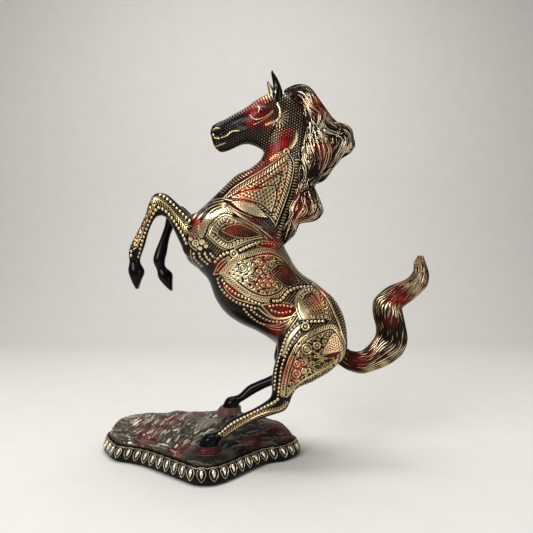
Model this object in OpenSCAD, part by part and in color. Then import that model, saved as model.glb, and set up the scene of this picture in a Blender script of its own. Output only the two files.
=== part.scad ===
// Rearing horse statue in engraved and lacquered brass, standing on a rocky base.
// The horse faces -X, its left side is -Y, and the base rests on Z = 0.

/* [Base] */
// Length of the base along the horse
base_length = 206; // [196:1:216]
// Reach of the base to the horse's left of the median plane
base_left = 73; // [68:1:80]
// Reach of the base to the horse's right of the median plane
base_right = 70; // [66:1:80]
// Height of the petal rim
rim_height = 14; // [12:0.5:16]
// How far the top of the rim leans inwards
rim_lean = 4; // [2:0.5:6]
// Flat ledge between the rim and the rocks
rim_ledge = 2.5; // [1:0.5:4]
// Wall of the base casting
base_wall = 5; // [4:0.5:6]
// Height of the ground at the horse's left edge
left_ground = 19; // [18:0.5:21]
// Height of the ground at the horse's right edge
right_ground = 34; // [30:0.5:37]
// How far the lumps of rock stand above or below the ground
lump_height = 1.2; // [0:0.1:1.6]
// Distance from one lump of rock to the next
lump_pitch = 34; // [30:1:44]
// Thickness of the felt sheet under the base
felt_thickness = 1.5; // [1:0.5:2.5]
// Distance of the felt's edge from the foot of the rim
felt_margin = 2; // [1:0.5:3]

/* [Stance] */
// Distance of each hind hoof from the median plane
stance = 36; // [34:0.5:38]
// Place of the left hind sole along the base
left_hoof_x = 15; // [9:1:21]
// Height of the rock under the left hind hoof
left_rock = 25; // [23:0.5:28]
// Step of the right hind hoof towards the tail
right_step = 15; // [10:1:18]
// Rise of the right hind hoof above the left one
right_rise = 17; // [13:0.5:20]
// Radius of the flat top of each rock
rock_radius = 11; // [10:0.5:13]
// How much each rock widens for each millimetre down
rock_slope = 0.4; // [0.2:0.05:0.5]
// How far each rock drifts towards the head for each millimetre down
rock_drift = 0.35; // [0:0.05:0.5]
// Height of the nut seats under the rocks
nut_seat_z = 10; // [9:0.5:12]

/* [Body] */
// Height of the horse above its left hind sole
horse_height = 356.2; // [348.2:1:364.2]
// Widest part of the torso, at the hips
torso_width = 74; // [70:1:80]
// Width of the neck at its seam with the torso
neck_width = 50; // [46:1:54]
// Width of the head at the eyes
head_width = 30; // [28:0.5:34]
// Wall of the hollow castings
wall = 4; // [3.5:0.25:4.5]
// How far the thighs' middles lie inside the widest part of the torso
hip_inset = 7; // [5:0.5:9]
// Widest part of each hind leg, at the thigh
hind_leg_width = 34; // [32:0.5:38]
// How far the forelegs lie inside the widest part of the torso
fore_inset = 11; // [9:0.5:13]
// Widest part of each foreleg, at the shoulder
foreleg_width = 28; // [26:0.5:31]
// Extra fold of the right foreleg at the knee, in degrees
right_fold = 6; // [0:1:10]
// Extra fold of the right fore hoof at the fetlock, in degrees
right_hoof_fold = 14; // [0:1:20]
// How far the right knee stands back from the left one
right_knee_back = 6; // [0:1:8]
// How far the right knee hangs below the left one
right_knee_drop = 3; // [0:1:6]

/* [Hair and ears] */
// Widest part of the tail
tail_width = 26; // [22:0.5:30]
// Widest part of the mane
mane_width = 36; // [32:0.5:40]
// How deep the mane is let in before it is fitted to the neck
mane_root = 8; // [6:0.5:10]
// Distance of each ear's tip from the median plane
ear_spread = 12.5; // [11:0.5:14]
// Width of each ear at its root
ear_width = 10; // [8:0.5:11]

/* [Joining pieces] */
// Diameter of the studs in the hooves and the tail
stud_diameter = 5; // [4:0.5:6]
// How deep a stud enters the hoof
stud_depth = 7; // [6:0.5:7.5]
// How far a stud stands out below its nut
stud_end = 1.2; // [1:0.1:1.5]
// Nut across its flats
nut_flats = 8; // [7:0.5:9]
// Height of a nut
nut_height = 4; // [3:0.5:4.5]
// Diameter of a washer
washer_diameter = 10; // [9.5:0.5:12]
// Thickness of a washer
washer_thickness = 1; // [0.8:0.1:1.2]
// Diameter of the hip and shoulder pegs
peg_diameter = 6; // [5:0.5:7]
// Length of a hip peg inside the thigh
hip_peg_depth = 6; // [4:0.5:7]
// Length of a shoulder peg
shoulder_peg_length = 18; // [16:0.5:22]
// Length of the tail stud inside the tail
tail_stud_depth = 13; // [10:0.5:14]
// Diameter of the pins across the seam
seam_pin_diameter = 2; // [1.5:0.25:2.25]
// Length of a pin across the seam
seam_pin_length = 5; // [4:0.5:6]
// Wall of the sleeves inside the neck
sleeve_wall = 2.5; // [2:0.25:3]
// Gap between a sleeve and the wall around it
sleeve_gap = 0.2; // [0.1:0.05:0.4]
// Radial clearance of a stud or peg in its bore
bore_gap = 0.1; // [0.05:0.05:0.2]

/* [Hidden] */
$fn = 48;

// Finishes, as plain colours
black_lacquer = "#17120f";
engraved_brass = "#9a7a45";
hair_brass = "#6b4a26";
rock_lacquer = "#4d4c44";
plain_brass = "#b5934c";
zinc_steel = "#b9bcc0";
green_felt = "#1f3328";

// Points around a full section, and around one half of it
ring_sides = 20;
half_sides = ring_sides / 2;
// Sections made between two listed ones
body_steps = 2;
// A length longer than any wall, for cuts that pass right through
cut_room = 1;

// Sections of the horse as drawn at this height, measured from the left hind sole at the median plane.
// A section runs from its front or belly point to its back point: [x, z, x, z, share of the width].
drawn_height = 356.2;
torso_table = [
    [117, 63, 132.5, 87, 0.43],
    [92, 60, 133, 97, 0.81],
    [74, 76, 130.5, 112, 0.97],
    [60, 91, 124.5, 126, 1],
    [44, 101, 115, 138, 0.97],
    [27, 109, 103, 149, 0.97],
    [13, 119, 90, 157.5, 0.97],
    [3, 133, 82, 166, 0.95],
    [-4, 151, 76, 176.5, 0.93],
    [-13, 161.5, 72, 184, 0.92],
    [-26, 174, 70.5, 191, 0.89],
    [-25, 194, 71.5, 198, 0.86],
    [-19, 215, 74, 206, 0.78]
];
neck_table = [
    [-5, 229, 78, 216, 1],
    [9, 243, 82, 227, 0.88],
    [23, 256, 86, 240, 0.78],
    [37, 263, 89, 255, 0.72],
    [46.5, 271, 91.5, 272, 0.66],
    [50.5, 278, 94, 292, 0.62],
    [50, 281, 93, 314, 0.6],
    [49, 282.5, 84, 334, 0.58]
];
head_table = [
    [48, 283, 67, 340, 0.97],
    [43.5, 285.5, 53, 336.5, 1],
    [36, 288, 42, 330.5, 0.93],
    [29, 287.5, 33, 324, 0.77],
    [21, 284, 23, 318.5, 0.63],
    [14, 281, 13, 313, 0.58],
    [8, 280, 4.5, 309, 0.57],
    [3.5, 283, -0.5, 305.5, 0.47],
    [0.5, 287, -2.5, 300, 0.3]
];
// Hind leg from thigh to sole, with the share of the way from the hip's spread to the hoof's,
// and the share of the right hoof's step that the section follows: [.., width, spread, step].
hind_leg_table = [
    [94, 134, 118, 130, 0.35, -2.2, 0],
    [82, 123.5, 125, 117, 0.75, -1, 0],
    [71, 109.5, 128, 100, 0.94, -0.3, 0],
    [65, 95.5, 127, 84, 1, 0, 0],
    [63.5, 82.5, 115, 69, 0.94, 0.15, 0],
    [60, 69, 98, 58, 0.76, 0.3, 0.1],
    [58.5, 57, 84, 52, 0.62, 0.4, 0.35],
    [58.5, 47.5, 78, 45, 0.5, 0.5, 0.7],
    [56.5, 42, 75, 37.5, 0.47, 0.6, 0.9],
    [50, 37, 70, 30.5, 0.44, 0.7, 1],
    [40, 31.5, 55, 25.5, 0.35, 0.8, 1],
    [28.5, 26.5, 41, 21, 0.32, 0.9, 1],
    [18.5, 21.5, 27, 14, 0.32, 1, 1],
    [10, 13.5, 16.5, 7.5, 0.38, 1, 1],
    [5, 11, 11.5, 4.5, 0.36, 1, 1],
    [-4, 8.5, 9.5, 2.5, 0.47, 1, 1],
    [-9, 0, 9, 0, 0.53, 1, 1]
];
// Foreleg from the shoulder to the toe, with the share of the spread and
// the share of the right knee's shift that the section follows: [.., width, spread, shift].
foreleg_table = [
    [36, 202, 26, 170, 0.5, 0.5, 0],
    [18, 210, 8, 168, 0.85, 0.72, 0],
    [2, 214, -8, 171, 1, 0.86, 0],
    [-13, 215, -22.5, 175.5, 1, 0.96, 0],
    [-19, 213.5, -27, 184.5, 0.86, 1, 0.25],
    [-25.5, 219, -32.5, 196, 0.71, 1, 0.5],
    [-32, 225.5, -38.5, 208, 0.64, 1, 0.75],
    [-41.5, 233, -45, 212.5, 0.61, 1, 1],
    [-51.5, 233, -49.5, 212, 0.61, 1, 1],
    [-57, 225, -52.5, 209.5, 0.5, 1, 1],
    [-61, 212.5, -56, 203, 0.39, 1, 1],
    [-68, 198, -59, 194.5, 0.36, 1, 1],
    [-74, 186.5, -61.5, 185, 0.39, 1, 1],
    [-76.5, 177.5, -64.5, 176.5, 0.46, 1, 1],
    [-76, 169, -66, 169, 0.36, 1, 1],
    [-77, 160, -62, 160, 0.5, 1, 1],
    [-73.5, 150, -65, 151, 0.46, 1, 1],
    [-69.5, 143, -67.5, 144, 0.36, 1, 1]
];
knee_section = 8;
fetlock_section = 13;
tail_table = [
    [124, 90, 118, 72, 0.69],
    [132, 85, 127, 67, 0.69],
    [139, 81, 136, 62, 0.73],
    [148, 81, 150, 59, 0.77],
    [154.5, 85.5, 165, 63, 0.85],
    [159.5, 91.5, 179, 69.5, 0.92],
    [163, 98, 190.5, 80, 0.96],
    [163, 106, 194, 93, 1],
    [161, 115, 192, 107, 0.96],
    [160, 124, 189, 120, 0.92],
    [161, 132, 189, 124.5, 0.88],
    [166, 138.5, 194, 128.5, 0.85],
    [175, 145, 201, 133.5, 0.77],
    [187, 150, 208.5, 140, 0.69],
    [196, 154.5, 214, 147, 0.58],
    [201, 161.5, 215.5, 157, 0.5],
    [201.5, 169, 213, 167, 0.35],
    [205, 176.5, 210, 176, 0.19]
];
// Mane from the forelock to the withers: the crest, then the flying edge of the hair.
mane_table = [
    [70, 337, 71, 342, 0.4],
    [80, 334, 80, 345.5, 0.67],
    [88, 332, 89, 347.5, 0.78],
    [92, 326, 99, 342, 0.89],
    [95, 318, 109, 330, 0.94],
    [96, 309, 118, 317, 0.94],
    [95, 301, 124, 308.5, 0.97],
    [93, 294, 137, 303.5, 1],
    [91, 286, 141, 292, 1],
    [89, 279, 140, 283, 1],
    [87, 272, 130, 275, 0.97],
    [87, 264, 121, 265, 0.92],
    [86, 256, 113, 254, 0.86],
    [85.5, 248, 102, 247, 0.75],
    [84.5, 240, 103, 240, 0.78],
    [81, 231, 107, 231, 0.86],
    [78, 222, 111, 221, 0.86],
    [75.5, 215, 105, 213.5, 0.8],
    [72, 207, 88, 209.5, 0.67],
    [69, 199, 83, 200, 0.61],
    [68, 192, 79, 192.5, 0.5],
    [68, 186, 72, 187, 0.28]
];
mane_upper_end = 6;
mane_middle_end = 13;
// Ear from inside the head to its tip, with the share of the tip's spread.
ear_table = [
    [57, 326, 69, 327, 1, 0.6],
    [58, 333, 69.5, 335, 1, 0.68],
    [58.5, 340, 68, 342, 0.96, 0.78],
    [57.5, 347, 64.5, 349, 0.8, 0.89],
    [57.3, 353, 60.5, 354, 0.4, 0.98],
    [58.5, 356, 59.3, 356.2, 0.12, 1]
];
// Outline of the base, as shares of its half length and of its reach to each side.
base_outline = [
    [1, 0.2], [0.966, 0.01], [0.845, -0.185], [0.68, -0.288], [0.513, -0.56], [0.371, -0.811],
    [0.252, -0.966], [0.15, -1], [0.058, -0.973], [-0.058, -0.849], [-0.292, -0.584], [-0.485, -0.37],
    [-0.65, -0.25], [-0.786, -0.171], [-0.898, 0.05], [-0.971, 0.243], [-1, 0.414], [-0.971, 0.586],
    [-0.893, 0.714], [-0.777, 0.807], [-0.583, 0.871], [-0.34, 0.921], [-0.097, 0.971], [0.146, 1],
    [0.388, 0.914], [0.612, 0.743], [0.806, 0.571], [0.942, 0.386]
];
outline_steps = 2;
// How far in from the edge each ring of the mound lies, as shares of the way to the middle
mound_rings = [1, 0.985, 0.955, 0.9, 0.82, 0.73, 0.64, 0.55, 0.46, 0.37, 0.28, 0.19, 0.1];
// How steeply the mound climbs from its edge
mound_power = 12;
// How far the rows of lumps run askew, with the height and the length of the swell under them
lump_skew = 0.4;
swell_share = 0.5;
swell_pitches = 1.7;
// Rounding at the foot of the rim
foot_round = 1.5;
// Sides of a hoof's rock, how many walls deep it is rooted, and the step in to the boss below it
rock_sides = 40;
rock_root_walls = 2;
boss_step = 1;

// The ground slopes between these shares of the base's reach to the left and to the right
slope_left_share = 0.8;
slope_right_share = 0.4;
// The hip peg passes the side of the torso at the middle of this section
hip_section = 2;
// The shoulder peg lies between these two foreleg sections, this share of the way
shoulder_sections = [1, 4];
shoulder_peg_share = 0.59;
// How far the tail's stud lies above the middle of the rump's end, as a share of the way to the back
tail_stud_rise = 0.12;

// Body sections at the seams, at the end of the head's hollow, and where other pieces are fitted on
head_hollow_sections = 5;
fit_margin = 3;
neck_seam = len(torso_table);
poll_seam = neck_seam + len(neck_table) - 1;
muzzle = poll_seam + len(head_table);
muzzle_core = poll_seam + head_hollow_sections;
shoulder_fit = [neck_seam / 2, neck_seam + fit_margin];
thigh_fit = [0, neck_seam / 2];
tail_fit = [0, fit_margin];
mane_fit = [neck_seam - fit_margin, poll_seam + fit_margin];
sleeve_reach = 0.5;
ear_fit = [poll_seam, muzzle_core];

// Values between two others, straight or eased at both ends.
function mix(a, b, t) = a + (b - a) * t;
function clamp01(t) = min(1, max(0, t));
function eased(t) = let (c = clamp01(t)) c * c * (3 - 2 * c);

// A cubic curve that passes through every row of a table, taken at part t after row i.
function between_rows(rows, i, t) =
    let (
        last = len(rows) - 1,
        a = rows[max(i - 1, 0)],
        b = rows[i],
        c = rows[min(i + 1, last)],
        d = rows[min(i + 2, last)]
    )
    (2 * b + (c - a) * t + (2 * a - 5 * b + 4 * c - d) * t * t + (3 * b - a - 3 * c + d) * t * t * t) / 2;
function row_at(rows, s) = let (i = min(floor(s), len(rows) - 2)) between_rows(rows, i, s - i);
function rows_between(rows, first, last, steps) =
    [for (k = [0 : round((last - first) * steps)]) row_at(rows, first + k / steps)];

// A listed section at the horse's size, as [x, z, x, z, y, half width], and small moves of it.
size_share = horse_height / drawn_height;
function section(line, y, half_width) =
    [line[0] * size_share, line[1] * size_share, line[2] * size_share, line[3] * size_share, y, half_width];
function front_of(row) = [row[0], row[4], row[1]];
function back_of(row) = [row[2], row[4], row[3]];
function middle_of(row) = (front_of(row) + back_of(row)) / 2;
function unit(v) = v / norm(v);
function moved(row, dx, dz) = row + [dx, dz, dx, dz, 0, 0];
function inset(row, d) =
    let (u = unit(back_of(row) - front_of(row)) * d)
    row + [u[0], u[2], -u[0], -u[2], 0, -d];
function turned_point(x, z, pivot, angle) = [
    pivot[0] + (x - pivot[0]) * cos(angle) - (z - pivot[2]) * sin(angle),
    pivot[2] + (x - pivot[0]) * sin(angle) + (z - pivot[2]) * cos(angle)
];
function turned(row, pivot, angle) =
    let (
        a = turned_point(row[0], row[1], pivot, angle),
        b = turned_point(row[2], row[3], pivot, angle)
    )
    [a[0], a[1], b[0], b[1], row[4], row[5]];
// Normal of a section's plane, in the median plane.
function normal_of(row) = let (u = unit(back_of(row) - front_of(row))) [u[2], 0, -u[0]];

// An oval section as a ring of points, and its left half from front to back.
function section_point(row, angle) =
    middle_of(row) + (front_of(row) - back_of(row)) / 2 * cos(angle) + [0, row[5] * sin(angle), 0];
function ring(row) = [for (j = [0 : ring_sides - 1]) section_point(row, 360 * j / ring_sides)];
function left_arc(row) = [for (j = [0 : half_sides]) section_point(row, -180 * j / half_sides)];

// The whole body from the rump to the muzzle as one list of sections.
body_rows = concat(
    [for (line = torso_table) section(line, 0, line[4] * torso_width / 2)],
    [for (line = neck_table) section(line, 0, line[4] * neck_width / 2)],
    [for (line = head_table) section(line, 0, line[4] * head_width / 2)]
);
function body_between(first, last) = rows_between(body_rows, first, last, body_steps);

hip_spread = torso_width / 2 - hip_inset;
fore_spread = torso_width / 2 - fore_inset;
hind_rows = [for (line = hind_leg_table)
    section(line, -mix(hip_spread, stance, line[5]), line[4] * hind_leg_width / 2)];
right_hind_rows = [for (i = [0 : len(hind_rows) - 1])
    moved(hind_rows[i], right_step * hind_leg_table[i][6], right_rise * hind_leg_table[i][6])];
fore_rows = [for (line = foreleg_table)
    section(line, -fore_spread * line[5], line[4] * foreleg_width / 2)];
shifted_fore_rows = [for (i = [0 : len(fore_rows) - 1])
    moved(fore_rows[i], right_knee_back * foreleg_table[i][6], -right_knee_drop * foreleg_table[i][6])];
right_knee = middle_of(shifted_fore_rows[knee_section]);
knee_fold_rows = [for (i = [0 : len(fore_rows) - 1])
    turned(shifted_fore_rows[i], right_knee, i > knee_section ? right_fold : 0)];
right_fetlock = middle_of(knee_fold_rows[fetlock_section]);
right_fore_rows = [for (i = [0 : len(fore_rows) - 1])
    turned(knee_fold_rows[i], right_fetlock, i > fetlock_section ? right_hoof_fold : 0)];
tail_rows = [for (line = tail_table) section(line, 0, line[4] * tail_width / 2)];
mane_rows = [for (line = mane_table)
    let (
        row = section(line, 0, line[4] * mane_width / 2),
        root = unit(front_of(row) - back_of(row)) * mane_root
    )
    row + [root[0], root[2], 0, 0, 0, 0]];
ear_rows = [for (line = ear_table)
    section(line, -ear_spread * line[5], line[4] * ear_width / 2)];

// Heights and places on the base.
foot_z = felt_thickness;
rim_top_z = foot_z + rim_height;
right_hoof_x = left_hoof_x + right_step;
right_rock = left_rock + right_rise;
stud_radius = stud_diameter / 2;
bore_radius = stud_radius + bore_gap;
peg_radius = peg_diameter / 2;
peg_bore_radius = peg_radius + bore_gap;
hoof_places = [[left_hoof_x, -stance, left_rock], [right_hoof_x, stance, right_rock]];

// A length of pipe or rod from one point to another.
module rod(from, to, radius) {
    v = to - from;
    translate(from)
        rotate([0, acos(v[2] / norm(v)), atan2(v[1], v[0])])
            cylinder(h = norm(v), r = radius);
}

function quad(a, b, c, d) = [[c, b, a], [d, c, a]];
function sum_of(values) = values * [for (v = values) 1];
function centre_of(points) = [for (k = [0 : 2]) sum_of([for (p = points) p[k]]) / len(points)];
// Whether a ring runs left-handed about the way to the next one.
function left_handed(a, b) =
    let (c = centre_of(a))
    cross(a[0] - c, a[floor(len(a) / 4)] - c) * (centre_of(b) - c) < 0;
function reversed(face) = [for (k = [len(face) - 1 : -1 : 0]) face[k]];

// A closed skin over a list of rings, with its two sides split into mirrored triangles.
// The ring numbered probe and the next one lie on the outside.
module skin(rings, loop = false, probe = 0) {
    n = len(rings[0]);
    m = len(rings);
    spans = loop ? m : m - 1;
    sides = [for (s = [0 : spans - 1]) for (j = [0 : n - 1])
        let (
            next = (j + 1) % n,
            far = (s + 1) % m * n,
            a = s * n + j,
            b = s * n + next,
            c = far + next,
            d = far + j
        )
        each j < n / 2 ? quad(b, c, d, a) : quad(a, b, c, d)];
    end = (m - 1) * n;
    caps = loop ? [] : concat(
        [for (j = [1 : n - 2]) [j, j + 1, 0]],
        [for (j = [1 : n - 2]) [end + j + 1, end + j, end]]
    );
    faces = concat(sides, caps);
    polyhedron(
        [for (r = rings) each r],
        left_handed(rings[probe], rings[probe + 1]) ? [for (f = faces) reversed(f)] : faces
    );
}

// One half of a hollow casting, cut at the median plane, between outer and inner arcs.
module half_shell(outer, inner, closed_start) {
    m = len(outer);
    n = len(outer[0]);
    b = n - 1;
    e = m - 1;
    function o(s, j) = s * n + j;
    function i(s, j) = (m + s) * n + j;
    skins = [for (s = [0 : m - 2]) for (j = [0 : n - 2]) each concat(
        quad(o(s, j + 1), o(s + 1, j + 1), o(s + 1, j), o(s, j)),
        quad(i(s, j), i(s + 1, j), i(s + 1, j + 1), i(s, j + 1))
    )];
    seams = [for (s = [0 : m - 2]) each concat(
        quad(o(s, 0), o(s + 1, 0), i(s + 1, 0), i(s, 0)),
        quad(o(s + 1, b), o(s, b), i(s, b), i(s + 1, b))
    )];
    end_cap = [for (j = [0 : n - 2]) each quad(o(e, j), o(e, j + 1), i(e, j + 1), i(e, j))];
    open_start = [for (j = [0 : n - 2]) each quad(o(0, j + 1), o(0, j), i(0, j), i(0, j + 1))];
    end_wall = concat(
        quad(o(0, b), o(0, 0), i(0, 0), i(0, b)),
        [for (j = [1 : n - 2]) [o(0, j), o(0, j + 1), o(0, 0)]],
        [for (j = [1 : n - 2]) [i(0, j + 1), i(0, j), i(0, 0)]]
    );
    polyhedron(
        concat([for (r = outer) each r], [for (r = inner) each r]),
        concat(skins, seams, end_cap, closed_start ? end_wall : open_start)
    );
}

// Puts what is drawn from the left hind sole onto its rock.
module on_rock() {
    translate([left_hoof_x, 0, left_rock])
        children();
}

// The body's outer form, filled, between two sections.
module body_form(reach) {
    skin([for (row = body_between(reach[0], reach[1])) ring(row)]);
}

// Base

function base_point(k) = [
    base_outline[k][0] * base_length / 2,
    base_outline[k][1] * (base_outline[k][1] < 0 ? base_left : base_right)
];
base_points = [for (k = [0 : len(base_outline) - 1]) base_point(k)];
// The outline as a smooth closed curve.
closed_points = concat([base_points[len(base_points) - 1]], base_points, [base_points[0], base_points[1]]);
outline_points = [for (k = [1 : len(base_points)]) for (s = [0 : outline_steps - 1])
    between_rows(closed_points, k, s / outline_steps)];
function shrunk(p, d) = p * (1 - d / norm(p));
function outline_at(d) = [for (p = outline_points) shrunk(p, d)];
function level_ring(d, z) = [for (p = outline_at(d)) [p[0], p[1], z]];
slope_start = -slope_left_share * base_left;
slope_end = slope_right_share * base_right;
function plateau(y) = mix(left_ground, right_ground, eased((y - slope_start) / (slope_end - slope_start)));
// Lumps where two rows of waves cross askew, over a longer swell.
function wave(d, pitch) = sin(360 * d / pitch);
function lump(p) = lump_height * (
    wave(p[0] + lump_skew * p[1], lump_pitch) * wave(p[1] - lump_skew * p[0], lump_pitch)
    + swell_share * wave(p[0] + p[1], swell_pitches * lump_pitch)
);
function ground(p, share) = mix(rim_top_z, plateau(p[1]) + lump(p), 1 - pow(share, mound_power));
function mound_ring(d, share, depth) = [for (p = outline_at(d)) let (q = p * share)
    [q[0], q[1], ground(q, share) - depth]];

mound_inset = rim_lean + rim_ledge;
core_inset = mound_inset + base_wall;

module mound() {
    inner_rings = [for (k = [len(mound_rings) - 1 : -1 : 0]) mound_ring(core_inset, mound_rings[k], base_wall)];
    foot_rings = [
        level_ring(base_wall, foot_z),
        level_ring(foot_round, foot_z),
        level_ring(0, foot_z + foot_round),
        level_ring(rim_lean, rim_top_z)
    ];
    outer_rings = [for (share = mound_rings) mound_ring(mound_inset, share, 0)];
    skin(concat(inner_rings, foot_rings, outer_rings), probe = len(inner_rings) + 2);
}

function under(place, z) = [place[0], place[1], z];

// Where a hoof's rock ends inside the mound.
function rock_foot(place) = plateau(place[1]) - base_wall * rock_root_walls;
function rock_ring(place, z) =
    let (
        drop = place[2] - z,
        radius = rock_radius + rock_slope * drop,
        middle = under(place, z) - [rock_drift * drop, 0, 0]
    )
    [for (j = [0 : rock_sides - 1])
        let (angle = 360 * j / rock_sides)
        middle + radius * [cos(angle), sin(angle), 0]];

// The rock under a hoof, with the boss below it that the stud passes.
module rock(place) {
    skin([rock_ring(place, rock_foot(place)), rock_ring(place, place[2])]);
    translate(under(place, nut_seat_z))
        cylinder(h = place[2] - nut_seat_z, r = rock_radius - boss_step);
}

module base_casting() {
    color(rock_lacquer)
        difference() {
            union() {
                mound();
                for (place = hoof_places)
                    rock(place);
            }
            for (place = hoof_places)
                translate(under(place, nut_seat_z - cut_room))
                    cylinder(h = place[2] - nut_seat_z + 2 * cut_room, r = bore_radius);
        }
}

module base_felt() {
    color(green_felt)
        linear_extrude(height = felt_thickness)
            polygon(outline_at(foot_round + felt_margin));
}

// Studs, washers and nuts that hold the hind hooves

washer_z = nut_seat_z - washer_thickness;
nut_z = washer_z - nut_height;
stud_z = nut_z - stud_end;

module hoof_studs() {
    color(zinc_steel)
        for (place = hoof_places)
            translate(under(place, stud_z))
                cylinder(h = place[2] + stud_depth - bore_gap - stud_z, r = stud_radius);
}

module washer() {
    difference() {
        cylinder(h = washer_thickness, r = washer_diameter / 2);
        translate([0, 0, -cut_room])
            cylinder(h = washer_thickness + 2 * cut_room, r = bore_radius);
    }
}

module nut() {
    difference() {
        cylinder(h = nut_height, d = nut_flats / cos(30), $fn = 6);
        translate([0, 0, -cut_room])
            cylinder(h = nut_height + 2 * cut_room, r = bore_radius);
    }
}

module stud_washers() {
    color(zinc_steel)
        for (place = hoof_places)
            translate(under(place, washer_z))
                washer();
}

module stud_nuts() {
    color(zinc_steel)
        for (place = hoof_places)
            translate(under(place, nut_z))
                nut();
}

// Torso and neck shells

// Where the tail's stud passes the rump: on the end wall, a little above its middle.
tail_axis = normal_of(body_rows[0]);
tail_seat = mix(middle_of(body_rows[0]), back_of(body_rows[0]), tail_stud_rise);
tail_stud_inside = wall + washer_thickness + nut_height + stud_end;
hip_point = section_point(body_rows[hip_section], -90);
hip_peg_inner = hip_point + [0, wall + stud_end, 0];
hip_peg_outer = hip_point - [0, hip_peg_depth, 0];
// The shoulder peg lies along the root of the foreleg.
shoulder_inner = middle_of(fore_rows[shoulder_sections[0]]);
shoulder_outer = middle_of(fore_rows[shoulder_sections[1]]);
shoulder_way = unit(shoulder_outer - shoulder_inner);
shoulder_middle = mix(shoulder_inner, shoulder_outer, shoulder_peg_share);
shoulder_peg_ends = [
    shoulder_middle - shoulder_way * shoulder_peg_length / 2,
    shoulder_middle + shoulder_way * shoulder_peg_length / 2
];
torso_pin_sections = [3, 6, 9];
neck_pin_sections = [14, 17, 19];
// How deep the pins' middles lie in the wall
seam_pin_share = 0.55;
seam_bore_radius = (seam_pin_diameter + bore_gap) / 2;
function seam_point(s, belly) =
    let (thin = inset(body_rows[s], wall * seam_pin_share))
    belly ? front_of(thin) : back_of(thin);

// Rods across the seam at the belly and the back of each section, reaching so far to each side.
module seam_rods(sections, left_reach, right_reach, radius) {
    for (s = sections)
        for (belly = [true, false])
            rod(seam_point(s, belly) - [0, left_reach, 0], seam_point(s, belly) + [0, right_reach, 0], radius);
}

module seam_bores(sections) {
    seam_rods(sections, seam_pin_length / 2 + bore_gap, cut_room, seam_bore_radius);
}

module left_torso_form() {
    rows = body_between(0, neck_seam);
    rump_core = moved(rows[0], -tail_axis[0] * wall, -tail_axis[2] * wall);
    inner_rows = [for (k = [0 : len(rows) - 1]) inset(k == 0 ? rump_core : rows[k], wall)];
    difference() {
        half_shell([for (row = rows) left_arc(row)], [for (row = inner_rows) left_arc(row)], true);
        rod(hip_peg_inner + [0, cut_room, 0], hip_peg_outer, peg_bore_radius);
        rod(shoulder_peg_ends[0] - shoulder_way * cut_room, shoulder_peg_ends[1], peg_bore_radius);
        rod(tail_seat - tail_axis * tail_stud_inside, tail_seat + tail_axis * cut_room, bore_radius);
        seam_bores(torso_pin_sections);
    }
}

module left_neck_form() {
    rows = body_between(neck_seam, poll_seam);
    difference() {
        half_shell([for (row = rows) left_arc(row)], [for (row = rows) left_arc(inset(row, wall))], false);
        seam_bores(neck_pin_sections);
    }
}

module torso_left_shell() {
    color(engraved_brass)
        on_rock()
            left_torso_form();
}

module torso_right_shell() {
    color(engraved_brass)
        on_rock()
            mirror([0, 1, 0])
                left_torso_form();
}

module neck_left_shell() {
    color(engraved_brass)
        on_rock()
            left_neck_form();
}

module neck_right_shell() {
    color(engraved_brass)
        on_rock()
            mirror([0, 1, 0])
                left_neck_form();
}

module seam_pins() {
    color(plain_brass)
        on_rock()
            seam_rods(
                concat(torso_pin_sections, neck_pin_sections),
                seam_pin_length / 2, seam_pin_length / 2, seam_pin_diameter / 2
            );
}

// A sleeve inside the walls, reaching a part of a section to each side of a seam.
module sleeve(seam) {
    rows = body_between(seam - sleeve_reach, seam + sleeve_reach);
    outer_rows = [for (row = rows) inset(row, wall + sleeve_gap)];
    inner_rows = [for (k = [len(rows) - 1 : -1 : 0]) inset(rows[k], wall + sleeve_gap + sleeve_wall)];
    skin([for (row = concat(outer_rows, inner_rows)) ring(row)], loop = true);
}

module neck_sleeve() {
    color(plain_brass)
        on_rock()
            sleeve(neck_seam);
}

module poll_sleeve() {
    color(plain_brass)
        on_rock()
            sleeve(poll_seam);
}

// Head, ears and mane

module head_casting() {
    core_rows = body_between(poll_seam, muzzle_core);
    inner_rows = [for (k = [len(core_rows) - 1 : -1 : 0]) inset(core_rows[k], wall)];
    rows = concat(inner_rows, body_between(poll_seam, muzzle));
    color(black_lacquer)
        on_rock()
            skin([for (row = rows) ring(row)], probe = len(inner_rows));
}

module left_ear_form() {
    difference() {
        skin([for (row = ear_rows) ring(row)]);
        body_form(ear_fit);
    }
}

module left_ear() {
    color(black_lacquer)
        on_rock()
            left_ear_form();
}

module right_ear() {
    color(black_lacquer)
        on_rock()
            mirror([0, 1, 0])
                left_ear_form();
}

module mane_piece(first, last) {
    color(hair_brass)
        on_rock()
            difference() {
                skin([for (k = [first : last]) ring(mane_rows[k])]);
                body_form(mane_fit);
            }
}

module mane_upper() {
    mane_piece(0, mane_upper_end);
}

module mane_middle() {
    mane_piece(mane_upper_end, mane_middle_end);
}

module mane_lower() {
    mane_piece(mane_middle_end, len(mane_rows) - 1);
}

// Forelegs and hind legs, fitted to the torso's side

module foreleg_form(rows) {
    difference() {
        skin([for (row = rows) ring(row)]);
        body_form(shoulder_fit);
        rod(shoulder_peg_ends[0], shoulder_peg_ends[1] + shoulder_way * bore_gap, peg_bore_radius);
    }
}

module left_foreleg() {
    color(engraved_brass)
        on_rock()
            foreleg_form(fore_rows);
}

module right_foreleg() {
    color(black_lacquer)
        on_rock()
            mirror([0, 1, 0])
                foreleg_form(right_fore_rows);
}

module shoulder_pegs() {
    color(plain_brass)
        on_rock()
            for (side = [0, 1])
                mirror([0, side, 0])
                    rod(shoulder_peg_ends[0], shoulder_peg_ends[1], peg_radius);
}

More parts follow.
